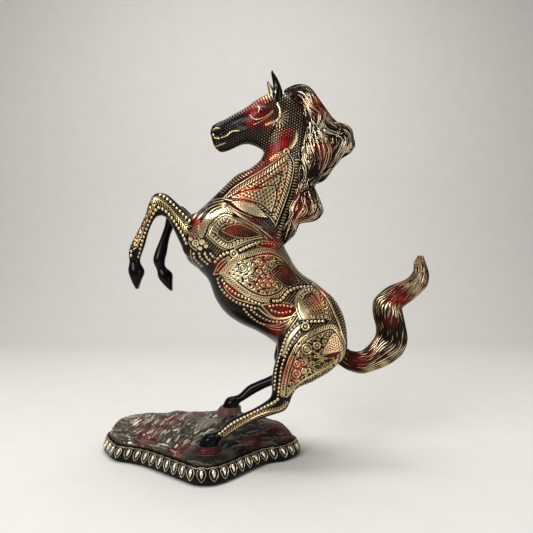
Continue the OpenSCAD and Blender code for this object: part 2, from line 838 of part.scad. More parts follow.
// The leg's sole lies at the given place, in the sections' own frame.
module hind_leg_form(rows, sole) {
    difference() {
        skin([for (row = rows) ring(row)]);
        body_form(thigh_fit);
        rod(hip_peg_inner, hip_peg_outer - [0, bore_gap, 0], peg_bore_radius);
        translate(sole - [0, 0, cut_room])
            cylinder(h = stud_depth + cut_room, r = bore_radius);
    }
}

module left_hind_leg() {
    color(engraved_brass)
        on_rock()
            hind_leg_form(hind_rows, [0, -stance, 0]);
}

module right_hind_leg() {
    color(black_lacquer)
        on_rock()
            mirror([0, 1, 0])
                hind_leg_form(right_hind_rows, [right_step, -stance, right_rise]);
}

module hip_pegs() {
    color(plain_brass)
        on_rock()
            for (side = [0, 1])
                mirror([0, side, 0])
                    rod(hip_peg_inner, hip_peg_outer, peg_radius);
}

// Tail and its fixing

module tail_casting() {
    color(hair_brass)
        on_rock()
            difference() {
                skin([for (row = tail_rows) ring(row)]);
                body_form(tail_fit);
                rod(tail_seat - tail_axis * cut_room, tail_seat + tail_axis * tail_stud_depth, bore_radius);
            }
}

module tail_stud() {
    color(zinc_steel)
        on_rock()
            rod(
                tail_seat - tail_axis * tail_stud_inside,
                tail_seat + tail_axis * (tail_stud_depth - bore_gap),
                stud_radius
            );
}

// Puts what is drawn along +Z onto the inside of the rump's end wall, pointing forwards.
module inside_rump(depth) {
    on_rock()
        translate(tail_seat - tail_axis * (wall + depth))
            rotate([0, acos(-tail_axis[2]), atan2(-tail_axis[1], -tail_axis[0])])
                children();
}

module tail_washer() {
    color(zinc_steel)
        inside_rump(0)
            washer();
}

module tail_nut() {
    color(zinc_steel)
        inside_rump(washer_thickness)
            nut();
}

base_casting();
base_felt();
hoof_studs();
stud_washers();
stud_nuts();
torso_left_shell();
torso_right_shell();
neck_left_shell();
neck_right_shell();
seam_pins();
neck_sleeve();
poll_sleeve();
head_casting();
left_ear();
right_ear();
mane_upper();
mane_middle();
mane_lower();
left_foreleg();
right_foreleg();
shoulder_pegs();
left_hind_leg();
right_hind_leg();
hip_pegs();
tail_casting();
tail_stud();
tail_washer();
tail_nut();
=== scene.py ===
import math

import bpy
import numpy as np
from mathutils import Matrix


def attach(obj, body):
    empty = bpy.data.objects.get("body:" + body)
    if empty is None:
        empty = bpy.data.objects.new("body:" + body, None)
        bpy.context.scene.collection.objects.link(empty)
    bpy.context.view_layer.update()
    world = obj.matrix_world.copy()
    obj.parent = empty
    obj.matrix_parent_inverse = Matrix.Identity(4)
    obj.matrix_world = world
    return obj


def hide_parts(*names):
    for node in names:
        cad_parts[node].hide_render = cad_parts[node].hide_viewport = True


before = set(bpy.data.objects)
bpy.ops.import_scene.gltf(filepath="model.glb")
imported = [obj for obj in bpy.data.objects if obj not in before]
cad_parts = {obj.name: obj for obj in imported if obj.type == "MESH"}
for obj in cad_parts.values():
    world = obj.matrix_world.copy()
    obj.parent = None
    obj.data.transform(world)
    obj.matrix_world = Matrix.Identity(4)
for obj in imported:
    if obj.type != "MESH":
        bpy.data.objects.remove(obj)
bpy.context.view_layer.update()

# Base casting: a rock mound with an upright rim, cast hollow in brass. The rock is chased
# with fans of short strokes and lacquered grey-green, black and red, and the strokes' tops
# are rubbed back to the brass. The rim is dipped in glossy black.

MM = 0.001
HALF_LENGTH, LEFT_REACH, RIGHT_REACH = 103.0, 73.0, 70.0
FOOT_Z, RIM_TOP, RIM_LEAN, LEDGE, FOOT_ROUND = 1.5, 15.5, 4.0, 2.5, 1.5
LEFT_GROUND, RIGHT_GROUND, MOUND_POWER = 19.0, 34.0, 12.0
LUMP_HEIGHT, LUMP_PITCH, LUMP_SKEW, SWELL_SHARE, SWELL_PITCHES = 1.2, 34.0, 0.4, 0.5, 1.7
base_shares = np.array([
    (1, 0.2), (0.966, 0.01), (0.845, -0.185), (0.68, -0.288), (0.513, -0.56), (0.371, -0.811),
    (0.252, -0.966), (0.15, -1), (0.058, -0.973), (-0.058, -0.849), (-0.292, -0.584), (-0.485, -0.37),
    (-0.65, -0.25), (-0.786, -0.171), (-0.898, 0.05), (-0.971, 0.243), (-1, 0.414), (-0.971, 0.586),
    (-0.893, 0.714), (-0.777, 0.807), (-0.583, 0.871), (-0.34, 0.921), (-0.097, 0.971), (0.146, 1),
    (0.388, 0.914), (0.612, 0.743), (0.806, 0.571), (0.942, 0.386)])


def eased(t):
    """A step from 0 to 1 with a level start and end: three times the square less twice the cube."""
    t = np.clip(t, 0.0, 1.0)
    return t * t * (3 - 2 * t)


def through(rows, s):
    """The cubic that passes through every row and takes its slope from the rows beside it, at row
    numbers s."""
    rows = np.asarray(rows, float)
    i = np.clip(np.floor(s).astype(int), 0, len(rows) - 2)
    t = (np.asarray(s) - i)[:, None]
    a, b, c, d = rows[np.maximum(i - 1, 0)], rows[i], rows[i + 1], rows[np.minimum(i + 2, len(rows) - 1)]
    return (2 * b + (c - a) * t + (2 * a - 5 * b + 4 * c - d) * t ** 2 + (3 * b - a - 3 * c + d) * t ** 3) / 2


def even(points, count, closed=False):
    """The same line with its points moved along it to lie at equal lengths."""
    length = np.concatenate([[0], np.cumsum(np.linalg.norm(np.diff(points, axis=0), axis=1))])
    at = np.linspace(0, length[-1], count, endpoint=not closed)
    return np.stack([np.interp(at, length, points[:, k]) for k in range(points.shape[1])], axis=1)


def base_outline(count):
    """The base's closed outline: the cubic through its shares of the length and of the reach to each
    side."""
    reach = np.where(base_shares[:, 1] < 0, LEFT_REACH, RIGHT_REACH)
    corners = np.stack([base_shares[:, 0] * HALF_LENGTH, base_shares[:, 1] * reach], axis=1)
    ring = np.concatenate([corners[-1:], corners, corners[:2]])
    return even(through(ring, np.linspace(1, len(corners) + 1, 4000)), count, closed=True)


def wave(d, pitch):
    """A sine wave of the given pitch at the distance d."""
    return np.sin(2 * np.pi * d / pitch)


def ground_height(x, y, share):
    """The rim's height at the edge, climbing steeply to a ground that slopes up from left to right, with
    lumps where two rows of waves cross askew over a longer swell."""
    slope = eased((y + 0.8 * LEFT_REACH) / (0.8 * LEFT_REACH + 0.4 * RIGHT_REACH))
    lump = wave(x + LUMP_SKEW * y, LUMP_PITCH) * wave(y - LUMP_SKEW * x, LUMP_PITCH)
    lump = LUMP_HEIGHT * (lump + SWELL_SHARE * wave(x + y, SWELL_PITCHES * LUMP_PITCH))
    level = LEFT_GROUND + (RIGHT_GROUND - LEFT_GROUND) * slope + lump
    return RIM_TOP + (level - RIM_TOP) * (1 - share ** MOUND_POWER)


def normals_of(grid, around=False):
    """Unit normals of a grid of points, from the cross product of its two directions."""
    along_rows = np.gradient(grid, axis=0)
    if around:
        wide = np.concatenate([grid[:, -1:], grid, grid[:, :1]], axis=1)
        along_columns = np.gradient(wide, axis=1)[:, 1:-1]
    else:
        along_columns = np.gradient(grid, axis=1)
    n = np.cross(along_rows, along_columns)
    return n / np.maximum(np.linalg.norm(n, axis=2, keepdims=True), 1e-9)


def blobs(u, v, places):
    """Soft round patches: the highest of the bells exp(-distance squared) around (u, v, size, strength)
    places."""
    total = np.zeros_like(u)
    for pu, pv, size, strength in places:
        total = np.maximum(total, strength * np.exp(-((u - pu) ** 2 + (v - pv) ** 2) / size ** 2))
    return total


def tube_faces(rows, columns, start=0):
    """Quads between neighbouring rings, and fans that close the first and last ring onto two middle
    points."""
    i, j = np.meshgrid(np.arange(rows - 1), np.arange(columns), indexing="ij")
    nxt = (j + 1) % columns
    low, high = i * columns, (i + 1) * columns
    quads = np.stack([low + j, low + nxt, high + nxt, high + j], axis=2)
    ring = np.arange(columns)
    turn = (ring + 1) % columns
    first, last, end = rows * columns, rows * columns + 1, (rows - 1) * columns
    fans = np.concatenate([
        np.stack([np.full(columns, first), turn, ring], axis=1),
        np.stack([np.full(columns, last), end + ring, end + turn], axis=1)])
    return quads.reshape(-1, 4) + start, fans + start


def piece_from(name, grids, material, values=None, sharp=None):
    """One object from grids of rings, each closed round and at both ends, in millimetres, faces turned
    outwards."""
    points, quads, fans, marks = [], [], [], {}
    start = 0
    for k, grid in enumerate(grids):
        rows, columns = grid.shape[:2]
        cloud = np.concatenate([grid.reshape(-1, 3), grid[0].mean(0)[None], grid[-1].mean(0)[None]])
        q, f = tube_faces(rows, columns, start)
        a, b, c, d = (cloud[q[:, m] - start] for m in range(4))
        fa, fb, fc = (cloud[f[:, m] - start] for m in range(3))
        volume = np.einsum("ij,ij->", a, np.cross(b, c)) + np.einsum("ij,ij->", a, np.cross(c, d))
        volume += np.einsum("ij,ij->", fa, np.cross(fb, fc))
        if volume < 0:
            q, f = q[:, ::-1], f[:, ::-1]
        points.append(cloud)
        quads.append(q)
        fans.append(f)
        for key, arrays in (values or {}).items():
            array = arrays[k].reshape(rows, columns)
            marks.setdefault(key, []).append(
                np.concatenate([array.ravel(), [array[0].mean()], [array[-1].mean()]]))
        start += len(cloud)
    points, quads, fans = np.concatenate(points), np.concatenate(quads), np.concatenate(fans)
    mesh = bpy.data.meshes.new(name)
    mesh.vertices.add(len(points))
    mesh.vertices.foreach_set("co", (points * MM).astype(np.float32).ravel())
    mesh.loops.add(quads.size + fans.size)
    mesh.loops.foreach_set("vertex_index", np.concatenate([quads.ravel(), fans.ravel()]).astype(np.int32))
    sizes = np.concatenate([np.full(len(quads), 4), np.full(len(fans), 3)])
    mesh.polygons.add(len(sizes))
    mesh.polygons.foreach_set("loop_start", np.concatenate([[0], np.cumsum(sizes)[:-1]]).astype(np.int32))
    mesh.update(calc_edges=True)
    for key, arrays in marks.items():
        layer = mesh.attributes.new(key, "FLOAT", "POINT")
        layer.data.foreach_set("value", np.concatenate(arrays).astype(np.float32))
    mesh.validate()
    mesh.shade_smooth()
    if sharp:
        mesh.set_sharp_from_angle(angle=math.radians(sharp))
    mesh.materials.append(material)
    obj = bpy.data.objects.new(name, mesh)
    bpy.context.scene.collection.objects.link(obj)
    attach(obj, "root")
    return obj


def linear(colour):
    """An sRGB hex colour as linear red, green, blue and a full alpha."""
    parts = [int(colour[k:k + 2], 16) / 255 for k in (1, 3, 5)]
    return [p / 12.92 if p <= 0.04045 else ((p + 0.055) / 1.055) ** 2.4 for p in parts] + [1.0]


def add(tree, kind, links=None, **settings):
    """Adds a node, sets its own settings, then sets or links its inputs."""
    node = tree.nodes.new(kind)
    for key, value in settings.items():
        setattr(node, key, value)
    for socket, value in (links or {}).items():
        if isinstance(value, bpy.types.NodeSocket):
            tree.links.new(value, node.inputs[socket])
        else:
            node.inputs[socket].default_value = value
    return node


def blank_material(name):
    """A new material with an empty node tree, and that tree."""
    material = bpy.data.materials.new(name)
    material.use_nodes = True
    material.node_tree.nodes.clear()
    return material, material.node_tree


def mark(tree, key):
    """The value of that name which the piece's points carry."""
    return add(tree, "ShaderNodeAttribute", attribute_name=key).outputs["Fac"]


def noise(tree, place, size_mm, detail):
    """Soft noise of the given size, fixed to the piece."""
    inputs = {"Vector": place, "Scale": 1 / (size_mm * MM), "Detail": detail}
    return add(tree, "ShaderNodeTexNoise", inputs).outputs["Fac"]


def mixed(tree, share, low, high):
    """The colour that goes from low to high as the share goes from 0 to 1."""
    return add(tree, "ShaderNodeMix", {0: share, 6: low, 7: high}, data_type="RGBA").outputs[2]


def lacquered_brass(name, ground, stain, brass, ground_shine, brass_shine, bump_mm, coat, ring_mm=0.0):
    """Cast brass filled with lacquer: the attribute gold says where the tool has bared the metal, and also
    where pale metal is laid as a painted highlight, red where the lacquer is stained, which also warms the
    metal, and tone how far the ground goes from one colour to the other and how clean the metal is rubbed,
    with painted highlights and painted shade in it. With a ring pitch, red lines lie that far apart in the
    attribute ring_depth where the attribute rings is."""
    material, tree = blank_material(name)
    place = add(tree, "ShaderNodeTexCoord").outputs["Object"]
    gold, red, tone = mark(tree, "gold"), mark(tree, "red"), mark(tree, "tone")
    if ring_mm:
        depth = {0: mark(tree, "ring_depth"), 1: 0.5 * ring_mm}
        fold = add(tree, "ShaderNodeMath", depth, operation="PINGPONG").outputs[0]
        line = add(tree, "ShaderNodeMapRange", {0: fold, 1: 0.3 * ring_mm, 2: 0.42 * ring_mm}).outputs[0]
        lines = {0: line, 1: mark(tree, "rings"), 2: red}
        red = add(tree, "ShaderNodeMath", lines, operation="MULTIPLY_ADD", use_clamp=True).outputs[0]
    cloud, grit = noise(tree, place, 11, 3.0), noise(tree, place, 0.9, 2.0)
    tooled = {0: gold, 1: 0.3, 2: 0.7}
    bare = add(tree, "ShaderNodeMapRange", tooled, interpolation_type="SMOOTHSTEP").outputs[0]
    worn = add(tree, "ShaderNodeMapRange", {0: cloud, 1: 0.35, 2: 0.65}).outputs[0]
    fine = add(tree, "ShaderNodeMapRange", {0: grit, 1: 0.3, 2: 0.7, 4: 0.42}).outputs[0]
    warm = add(tree, "ShaderNodeMapRange", {0: red, 3: 0.0, 4: 0.55}).outputs[0]
    under = mixed(tree, tone, linear(ground[0]), linear(ground[1]))
    stains = mixed(tree, worn, linear(stain[0]), linear(stain[1]))
    lacquer = mixed(tree, red, under, stains)
    dull = mixed(tree, worn, linear(brass[0]), linear(brass[1]))
    clean_and_highlit = mixed(tree, fine, dull, linear(brass[2]))
    # tone also carries painted highlights: it moves the metal towards the palest brass.
    rubbed_and_highlit = mixed(tree, tone, clean_and_highlit, linear(brass[2]))
    metal = mixed(tree, warm, rubbed_and_highlit, linear("#b8442c"))
    colour = mixed(tree, bare, lacquer, metal)
    shine = add(tree, "ShaderNodeMapRange", {0: bare, 3: ground_shine, 4: brass_shine}).outputs[0]
    rough = add(tree, "ShaderNodeMath", {0: fine, 1: 0.1, 2: shine}, operation="MULTIPLY_ADD").outputs[0]
    bump = {"Height": fine, "Distance": bump_mm * MM, "Strength": 1.0}
    relief = add(tree, "ShaderNodeBump", bump).outputs[0]
    shader = add(tree, "ShaderNodeBsdfPrincipled", {
        "Base Color": colour, "Metallic": bare, "Roughness": rough, "Normal": relief,
        "Specular IOR Level": 0.08, "Coat Weight": coat, "Coat Roughness": 0.07})
    add(tree, "ShaderNodeOutputMaterial", {"Surface": shader.outputs[0]})
    return material


rock_lacquer = lacquered_brass(
    "chased_rock_lacquer", ("#0f0e0e", "#7c7566"), ("#4a1b1b", "#8a3735"),
    ("#8f8a70", "#b8b39a", "#dcd7c0"),
    ground_shine=0.36, brass_shine=0.42, bump_mm=0.05, coat=0.04, ring_mm=2.2)

COLUMNS, STROKES, ROCK_CREASE = 720, 520, 80
EYE, EYE_X, EYE_Z = 480.0, 68.5, 172.0
FORESHORTENED = 0.29
LONG_CUTS, CROSS_CUTS = 400, 190
HOOF_ROCKS = ((15.0, -36.0, 25.0, 0.05, -1.45), (30.0, 36.0, 42.0, 0.45, -1.8))
ROCK_RADIUS, ROCK_SLOPE, ROCK_DRIFT = 11.0, 0.4, 0.35
rim_ring = base_outline(COLUMNS)
rim_radius = np.linalg.norm(rim_ring, axis=1)
rim_turn = np.arctan2(rim_ring[:, 1], rim_ring[:, 0])


def inset_ring(d, z):
    """The outline drawn in towards the middle by d, at height z."""
    p = rim_ring * (1 - d / rim_radius)[:, None]
    return np.stack([p[:, 0], p[:, 1], np.broadcast_to(z, COLUMNS)], axis=1)


def drawn_lot(*numbers):
    """A lot between 0 and 1 for each set of whole numbers: what is left of a large sine after its whole
    part."""
    total = sum(n * w for n, w in zip(numbers, (12.9898, 78.233, 37.719)))
    return np.abs(np.sin(total) * 43758.5453) % 1


def rock_drop(x, y):
    """How far below a rock's top its flank lies, from x and y off the hoof: the flank is a cone that
    widens and drifts towards the head as it goes down, so the drop is the root of a square equation."""
    a = ROCK_SLOPE ** 2 - ROCK_DRIFT ** 2
    b = 2 * ROCK_DRIFT * x - 2 * ROCK_RADIUS * ROCK_SLOPE
    c = np.maximum(x ** 2 + y ** 2 - ROCK_RADIUS ** 2, 0)
    return (b + np.sqrt(b ** 2 + 4 * a * c)) / (2 * a)


wall_rows = [inset_ring(8, FOOT_Z), inset_ring(FOOT_ROUND, FOOT_Z), inset_ring(0.5, FOOT_Z + 0.45)]
wall_rows += [inset_ring(RIM_LEAN * t ** 1.6,
    FOOT_Z + FOOT_ROUND + (RIM_TOP - 0.6 - FOOT_Z - FOOT_ROUND) * t)
              for t in np.linspace(0, 1, 14)]
wall_rows += [inset_ring(RIM_LEAN + e, RIM_TOP + h)
              for e, h in ((0.3, -0.15), (0.9, 0.0), (1.5, -0.3), (2.2, -1.0), (4.5, -1.6))]
wall_grid = np.array(wall_rows)
edge_ring = rim_ring * (1 - (RIM_LEAN + LEDGE) / rim_radius)[:, None]
edge_radius = rim_radius - RIM_LEAN - LEDGE
left_end, right_end = np.argmin(edge_ring[:, 0]), np.argmax(edge_ring[:, 0])
turned = np.roll(edge_ring, -right_end, axis=0)
split = (left_end - right_end) % COLUMNS
one, two = turned[:split + 1], np.concatenate([turned[split:], turned[:1]])
near_side, far_side = (one[::-1], two) if one[:, 1].mean() < two[:, 1].mean() else (two, one[::-1])
ends = np.sin(np.linspace(-np.pi / 2, np.pi / 2, LONG_CUTS))
cut_x = 0.5 * (edge_ring[:, 0].min() + edge_ring[:, 0].max()) + 0.4999 * np.ptp(edge_ring[:, 0]) * (
    0.35 * ends + 0.65 * np.linspace(-1, 1, LONG_CUTS))
low_y = np.interp(cut_x, near_side[:, 0], near_side[:, 1])
high_y = np.interp(cut_x, far_side[:, 0], far_side[:, 1])
across = np.linspace(0, 1, CROSS_CUTS)
across = 0.5 * across + 0.25 - 0.25 * np.cos(np.pi * across)
top_x = np.broadcast_to(cut_x[:, None], (LONG_CUTS, CROSS_CUTS)).ravel()
top_y = (low_y[:, None] + (high_y - low_y)[:, None] * across).ravel()
by_turn = np.argsort(rim_turn)
top_turn = np.arctan2(top_y, top_x)
edge_there = np.interp(top_turn, rim_turn[by_turn], edge_radius[by_turn], period=2 * np.pi)
share = np.clip(np.hypot(top_x, top_y) / edge_there, 0, 1)
top_z = ground_height(top_x, top_y, share)
inside = eased((1 - share) / 0.03)


def combed(across, up, lean, pitch, long):
    """Strokes laid side by side like combed fur: rows a pitch apart across the lean, with a slow sway,
    each cut into lengths that begin at the row's own lot. Gives how high each place lies on its stroke,
    and the stroke's lot."""
    c, s = math.cos(math.radians(lean)), math.sin(math.radians(lean))
    along, side = c * across + s * up, c * up - s * across
    side = side + 0.8 * wave(along + 5 * wave(side, 31), 37) + 0.4 * wave(along + 2 * side, 17)
    row = np.floor(side / pitch)
    cell = along / long + 7 * drawn_lot(row, 1.0)
    part = np.floor(cell)
    round_over = np.clip(1 - (2 * (side / pitch - row) - 1) ** 2, 0, 1)
    body = round_over * np.clip(1 - (2 * (cell - part) - 1) ** 6, 0, 1)
    return body, drawn_lot(row, part, 2.0)


def chased_strokes(across, up, lean, high, lot, seed):
    """Single bent strokes struck over the combed ones, each a rounded ridge that covers what lies under
    it and leans as the place does. Gives how high each place lies on its stroke, and the stroke's own
    lot."""
    draw = np.random.default_rng(seed)
    at = np.sort(draw.integers(0, across.size, STROKES))[::-1]
    way = np.radians(lean.ravel()[at] + draw.normal(0, 12, STROKES))
    half_long, half_wide = draw.uniform(4.0, 8.0, STROKES), draw.uniform(0.8, 1.2, STROKES)
    bend, lots = draw.normal(0, 0.9, STROKES), draw.uniform(0, 1, STROKES)
    for k, a, long, wide, bow, own in zip(at.tolist(), way, half_long, half_wide, bend, lots):
        rows = slice(max(0, k // CROSS_CUTS - 20), k // CROSS_CUTS + 20)
        du, dv = across[rows] - across.flat[k], up[rows] - up.flat[k]
        s = (du * np.cos(a) + dv * np.sin(a)) / long
        t = (dv * np.cos(a) - du * np.sin(a)) / wide - bow * s ** 2
        body = np.clip(1 - t ** 2, 0, 1) * np.clip(1 - s ** 4, 0, 1)
        cover = eased(3 * body)
        high[rows] += cover * (body - high[rows])
        lot[rows] += cover * (own - lot[rows])
    return high, lot


flat = (LONG_CUTS, CROSS_CUTS)
tuft = wave(0.8 * top_x + 0.35 * top_y, 23) * wave(0.7 * top_y - 0.6 * top_x, 17)
by_rim = (top_x + top_y < -28) & (share > 0.84)
lies_left = top_x + 0.35 * top_y + 14 * tuft < 30
lean = np.where(by_rim, -18.0, np.where(lies_left, 38.0, 4.0))
near = (EYE + top_y) / EYE
seen_x, seen_z = (top_x - EYE_X) / near, (top_z - EYE_Z) / near
laid = [combed(seen_x, seen_z, degrees, 3.0, long) for degrees,
    long in ((-18, 18.0), (38, 14.0), (4, 13.0))]
ground_stroke, ground_lot = (
    np.where(by_rim, at_rim, np.where(lies_left, at_left, at_right)) for at_rim, at_left,
    at_right in zip(*laid))
stroke, lot = (v.ravel() for v in chased_strokes(
    seen_x.reshape(flat), seen_z.reshape(flat), lean,
    ground_stroke.reshape(flat), ground_lot.reshape(flat), seed=7))
# Painted shade: shade falls from 1 on the left of the base to 0 on the right, so the strokes are painted
# darker and less often pale towards the right.
shade = eased(0.62 - (top_x - 6 - 0.5 * top_y) / 75)
light = 0.06 + 0.85 * lot + 0.14 * tuft + 0.5 * (shade - 0.6)
relief = inside * (0.45 * stroke - 0.2)
pale = 0.8 * eased((light - 0.66) / 0.25) * eased((stroke - 0.35) / 0.4)
tone = np.clip((light - 0.1) / 0.62, 0.03, 1) * (0.04 + 0.96 * stroke ** 1.5)
rock_red = blobs(top_x, top_y, [
    (-72, 34, 15, 0.75), (-30, 15, 15, 0.7), (-8, 38, 14, 0.85), (-46, -14, 14, 0.75), (-8, -40, 13, 0.8),
    (60, -22, 10, 0.7), (84, 6, 11, 0.95), (-25, 50, 14, 0.6), (36, 60, 12, 0.7), (66, 27, 12, 0.6),
    (-58, 10, 10, 0.6)])
rock_red *= 0.4 + 0.6 * drawn_lot(np.floor(40 * lot), 3.0)
smooth_x, smooth_y = top_x - 8, top_y - 8
along_smooth, across_smooth = 0.6 * smooth_x + 0.8 * smooth_y, 0.8 * smooth_x - 0.6 * smooth_y
smooth = eased(2.2 - 2.2 * np.hypot(along_smooth / 21, across_smooth / 9))
hatching = np.abs(wave(np.hypot(smooth_x - 14, smooth_y + 12), 9.0))
relief += smooth * (0.15 * hatching - relief)
pale += smooth * (0.45 * eased((hatching - 0.6) / 0.4) - pale)
tone += smooth * (0.85 + 0.15 * hatching - tone)
rock_red *= 1 - smooth
rings, ring_depth = np.zeros_like(top_x), np.zeros_like(top_x)
for hx, hy, top, greyness, heading in HOOF_ROCKS:
    drop = rock_drop(top_x - hx, top_y - hy)
    rise = top - drop - top_z
    turn = np.arctan2(top_y - hy, top_x - hx)
    out = np.hypot(top_x - hx, top_y - hy)
    facing = eased(1.4 * np.cos(turn - heading) - 0.1)
    apron = eased((30 - out) / 9) * eased(0.2 + 1.6 * np.cos(turn + 1.5)) * (hy < 0)
    on_rock = np.maximum(eased((rise + 2.0) / 3.0), apron)
    top_z = top_z + np.maximum(rise, 0) + np.clip(5 - np.abs(rise), 0, None) ** 2 / 20
    grooves = np.abs(wave(out * np.cos(1.3 * turn) + 0.5 * top_x, 6.0))
    relief += on_rock * (0.25 * (grooves - 0.5) - relief)
    pale *= 1 - 0.8 * on_rock
    tone += on_rock * ((greyness + 0.25 * (1 - facing)) * (0.4 + 0.6 * grooves) - tone)
    rock_red *= 1 - on_rock
    ringed = on_rock * facing * eased((20 - out) / 4)
    ring_depth = np.where(ringed > rings, top - top_z + FORESHORTENED * out, ring_depth)
    rings = np.maximum(rings, ringed)
    on_top = out < ROCK_RADIUS + 0.6
    top_z = np.where(on_top, np.minimum(top_z, top - 0.2), top_z)
    relief = np.where(on_top, 0, relief)
top_z = top_z + relief
over = np.stack([top_x, top_y, top_z], axis=1).reshape(LONG_CUTS, CROSS_CUTS, 3)
under = over[:, ::-12].copy()
under[:, :, 2] = RIM_TOP - 1.8
mound_grid = np.concatenate([over, under], axis=1)


def over_only(values):
    """Values on the upper side of the mound, with nothing on its hidden under side."""
    return np.concatenate([values.reshape(flat), np.zeros((LONG_CUTS, under.shape[1]))], axis=1)


plain_wall = np.zeros(wall_grid.shape[:2])
base_piece = piece_from("base_mound", [mound_grid, wall_grid], rock_lacquer, {
    "gold": [over_only(inside * pale), plain_wall],
    "red": [over_only(inside * rock_red), plain_wall],
    "rings": [over_only(inside * rings), plain_wall],
    "ring_depth": [over_only(ring_depth), plain_wall],
    "tone": [over_only(inside * tone), plain_wall]}, ROCK_CREASE)
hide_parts("base_casting")

# Petals of the rim: teardrops that point down, each a cut line round a filled lozenge, with a
# scalloped line above them. They are left as bare, burnished brass on the black rim.

BLACK, DEEP_RED, RED = "#0a080a", "#540a0b", "#b01914"
PETAL_PITCH, PETAL_WIDTH, PETAL_TOP, PETAL_LOW = 11.0, 8.0, 11.9, 1.4
ARCH_STEPS = 14
burnished = lacquered_brass(
    "burnished_brass", (BLACK, BLACK), (DEEP_RED, RED), ("#a48c58", "#c2ac76", "#fdf8e8"),
    ground_shine=0.25, brass_shine=0.28, bump_mm=0.02, coat=0.05)


def ribbon(path, normal, across, width, height):
    """A low ridge along a closed path: five points across it, the middle one standing highest."""
    steps = np.array([-0.5, -0.3, 0.0, 0.3, 0.5])
    lift = np.array([-0.3, 0.75, 1.0, 0.75, -0.3])
    return (path[..., None, :] + across[..., None, :] * (steps * width)[:, None]
            + normal[..., None, :] * (lift * height)[:, None])


def rim_frames(count):
    """Evenly spaced places along the rim's foot, with the way along it, the way up the leaning wall and
    outwards."""
    foot = base_outline(count)
    way = np.roll(foot, -1, axis=0) - np.roll(foot, 1, axis=0)
    way = np.concatenate([way / np.linalg.norm(way, axis=1, keepdims=True), np.zeros((count, 1))], axis=1)
    inward = -foot / np.linalg.norm(foot, axis=1, keepdims=True)
    rise = RIM_TOP - 0.6 - FOOT_Z - FOOT_ROUND
    up = np.concatenate([inward * RIM_LEAN, np.full((count, 1), rise)], axis=1)
    up /= np.linalg.norm(up, axis=1, keepdims=True)
    out = np.cross(way, up)
    out *= np.sign(np.einsum("ij,ij->i", out[:, :2], foot))[:, None]
    out /= np.linalg.norm(out, axis=1, keepdims=True)
    origin = np.concatenate([foot, np.full((count, 1), FOOT_Z + FOOT_ROUND)], axis=1)
    return origin, way, up, out


def ring_strips(strips):
    """Closed strips (pieces, steps, 5, 3) as one point list with quads, their last step joined to the
    first."""
    n, m, w = strips.shape[:3]
    p, i, j = np.meshgrid(np.arange(n), np.arange(m), np.arange(w - 1), indexing="ij")
    corners = ((i, j), (i, j + 1), (i + 1, j + 1), (i + 1, j))
    quads = np.stack([p * m * w + (a % m) * w + b for a, b in corners], axis=3)
    return strips.reshape(-1, 3), quads.reshape(-1, 4)


def quad_piece(name, points, quads, rubbed_and_highlit, material):
    """An object from loose quads in millimetres, all of them bare metal, and how clean each point is
    rubbed."""
    mesh = bpy.data.meshes.new(name)
    mesh.from_pydata((points * MM).tolist(), [], quads.tolist())
    for key, values in (("gold", np.ones(len(points))), ("tone", rubbed_and_highlit)):
        mesh.attributes.new(key, "FLOAT", "POINT").data.foreach_set("value", values.astype(np.float32))
    mesh.shade_smooth()
    mesh.materials.append(material)
    obj = bpy.data.objects.new(name, mesh)
    bpy.context.scene.collection.objects.link(obj)
    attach(obj, "root")
    return obj


petals = int(round(np.linalg.norm(np.diff(base_outline(2000), axis=0), axis=1).sum() / PETAL_PITCH))
origin, way, up, out = rim_frames(petals)
turn = np.linspace(0, 2 * np.pi, 40, endpoint=False)
tall = (PETAL_TOP - PETAL_LOW) / 2


def rim_points(a, b, lift):
    """Places on the leaning wall at a along it and b up it from each petal's foot, lifted outwards."""
    bow = RIM_LEAN * (np.clip(b / PETAL_TOP, 0, 1) - np.clip(b / PETAL_TOP, 0, 1) ** 1.6)
    return (origin[:, None] + way[:, None] * a[None, :, None] + up[:, None] * b[None, :, None]
            + out[:, None] * (lift + bow)[None, :, None])


drop_b = PETAL_LOW + tall + tall * np.cos(turn)
drop_a = 0.61 * PETAL_WIDTH * np.sin(turn) * np.abs(np.cos(turn / 2)) ** 0.7
drop = rim_points(drop_a, drop_b, 0.1 + 0 * turn)
drop_way = np.roll(drop, -1, axis=1) - np.roll(drop, 1, axis=1)
drop_out = np.broadcast_to(out[:, None], drop.shape)
drop_across = np.cross(drop_way, drop_out)
drop_across /= np.linalg.norm(drop_across, axis=2, keepdims=True)
frames_points, frames_quads = ring_strips(ribbon(drop, drop_out, drop_across, 0.56, 0.4))
seed_turn = turn[::2]
seed_side = np.sin(seed_turn) * np.abs(np.cos(seed_turn / 2))
lozenge = [rim_points(2.2 * s * seed_side, 7.4 + 3.7 * s * np.cos(seed_turn), h + 0 * seed_turn)
           for s, h in ((1.0, -0.3), (0.82, 0.55), (0.5, 0.85), (0.1, 0.95))]
lozenge_points, lozenge_quads = ring_strips(np.stack(lozenge, axis=2))
origin, way, up, out = rim_frames(petals * ARCH_STEPS)
arch = 12.15 + 0.75 * np.abs(np.cos(np.pi * np.arange(petals * ARCH_STEPS) / ARCH_STEPS))
scallop = origin + up * arch[:, None] + out * 0.15
s_way = np.roll(scallop, -1, axis=0) - np.roll(scallop, 1, axis=0)
s_across = np.cross(s_way, out)
s_across /= np.linalg.norm(s_across, axis=1, keepdims=True)
scallop_points, scallop_quads = ring_strips(ribbon(scallop, out, s_across, 0.6, 0.4)[None])
shift_one, shift_two = len(frames_points), len(frames_points) + len(lozenge_points)
rim_petals = quad_piece(
    "rim_petals", np.concatenate([frames_points, lozenge_points, scallop_points]),
    np.concatenate([frames_quads, lozenge_quads + shift_one, scallop_quads + shift_two]),
    np.repeat([0.1, 1.0, 0.2], [len(frames_points), len(lozenge_points), len(scallop_points)]), burnished)

# Felt, studs, nuts, washers, pegs, pins and sleeves: the felt is glued under the base, and the
# rest hold the castings together inside, so the solids show as they are, with felted wool,
# bright zinc and sawn brass on them.


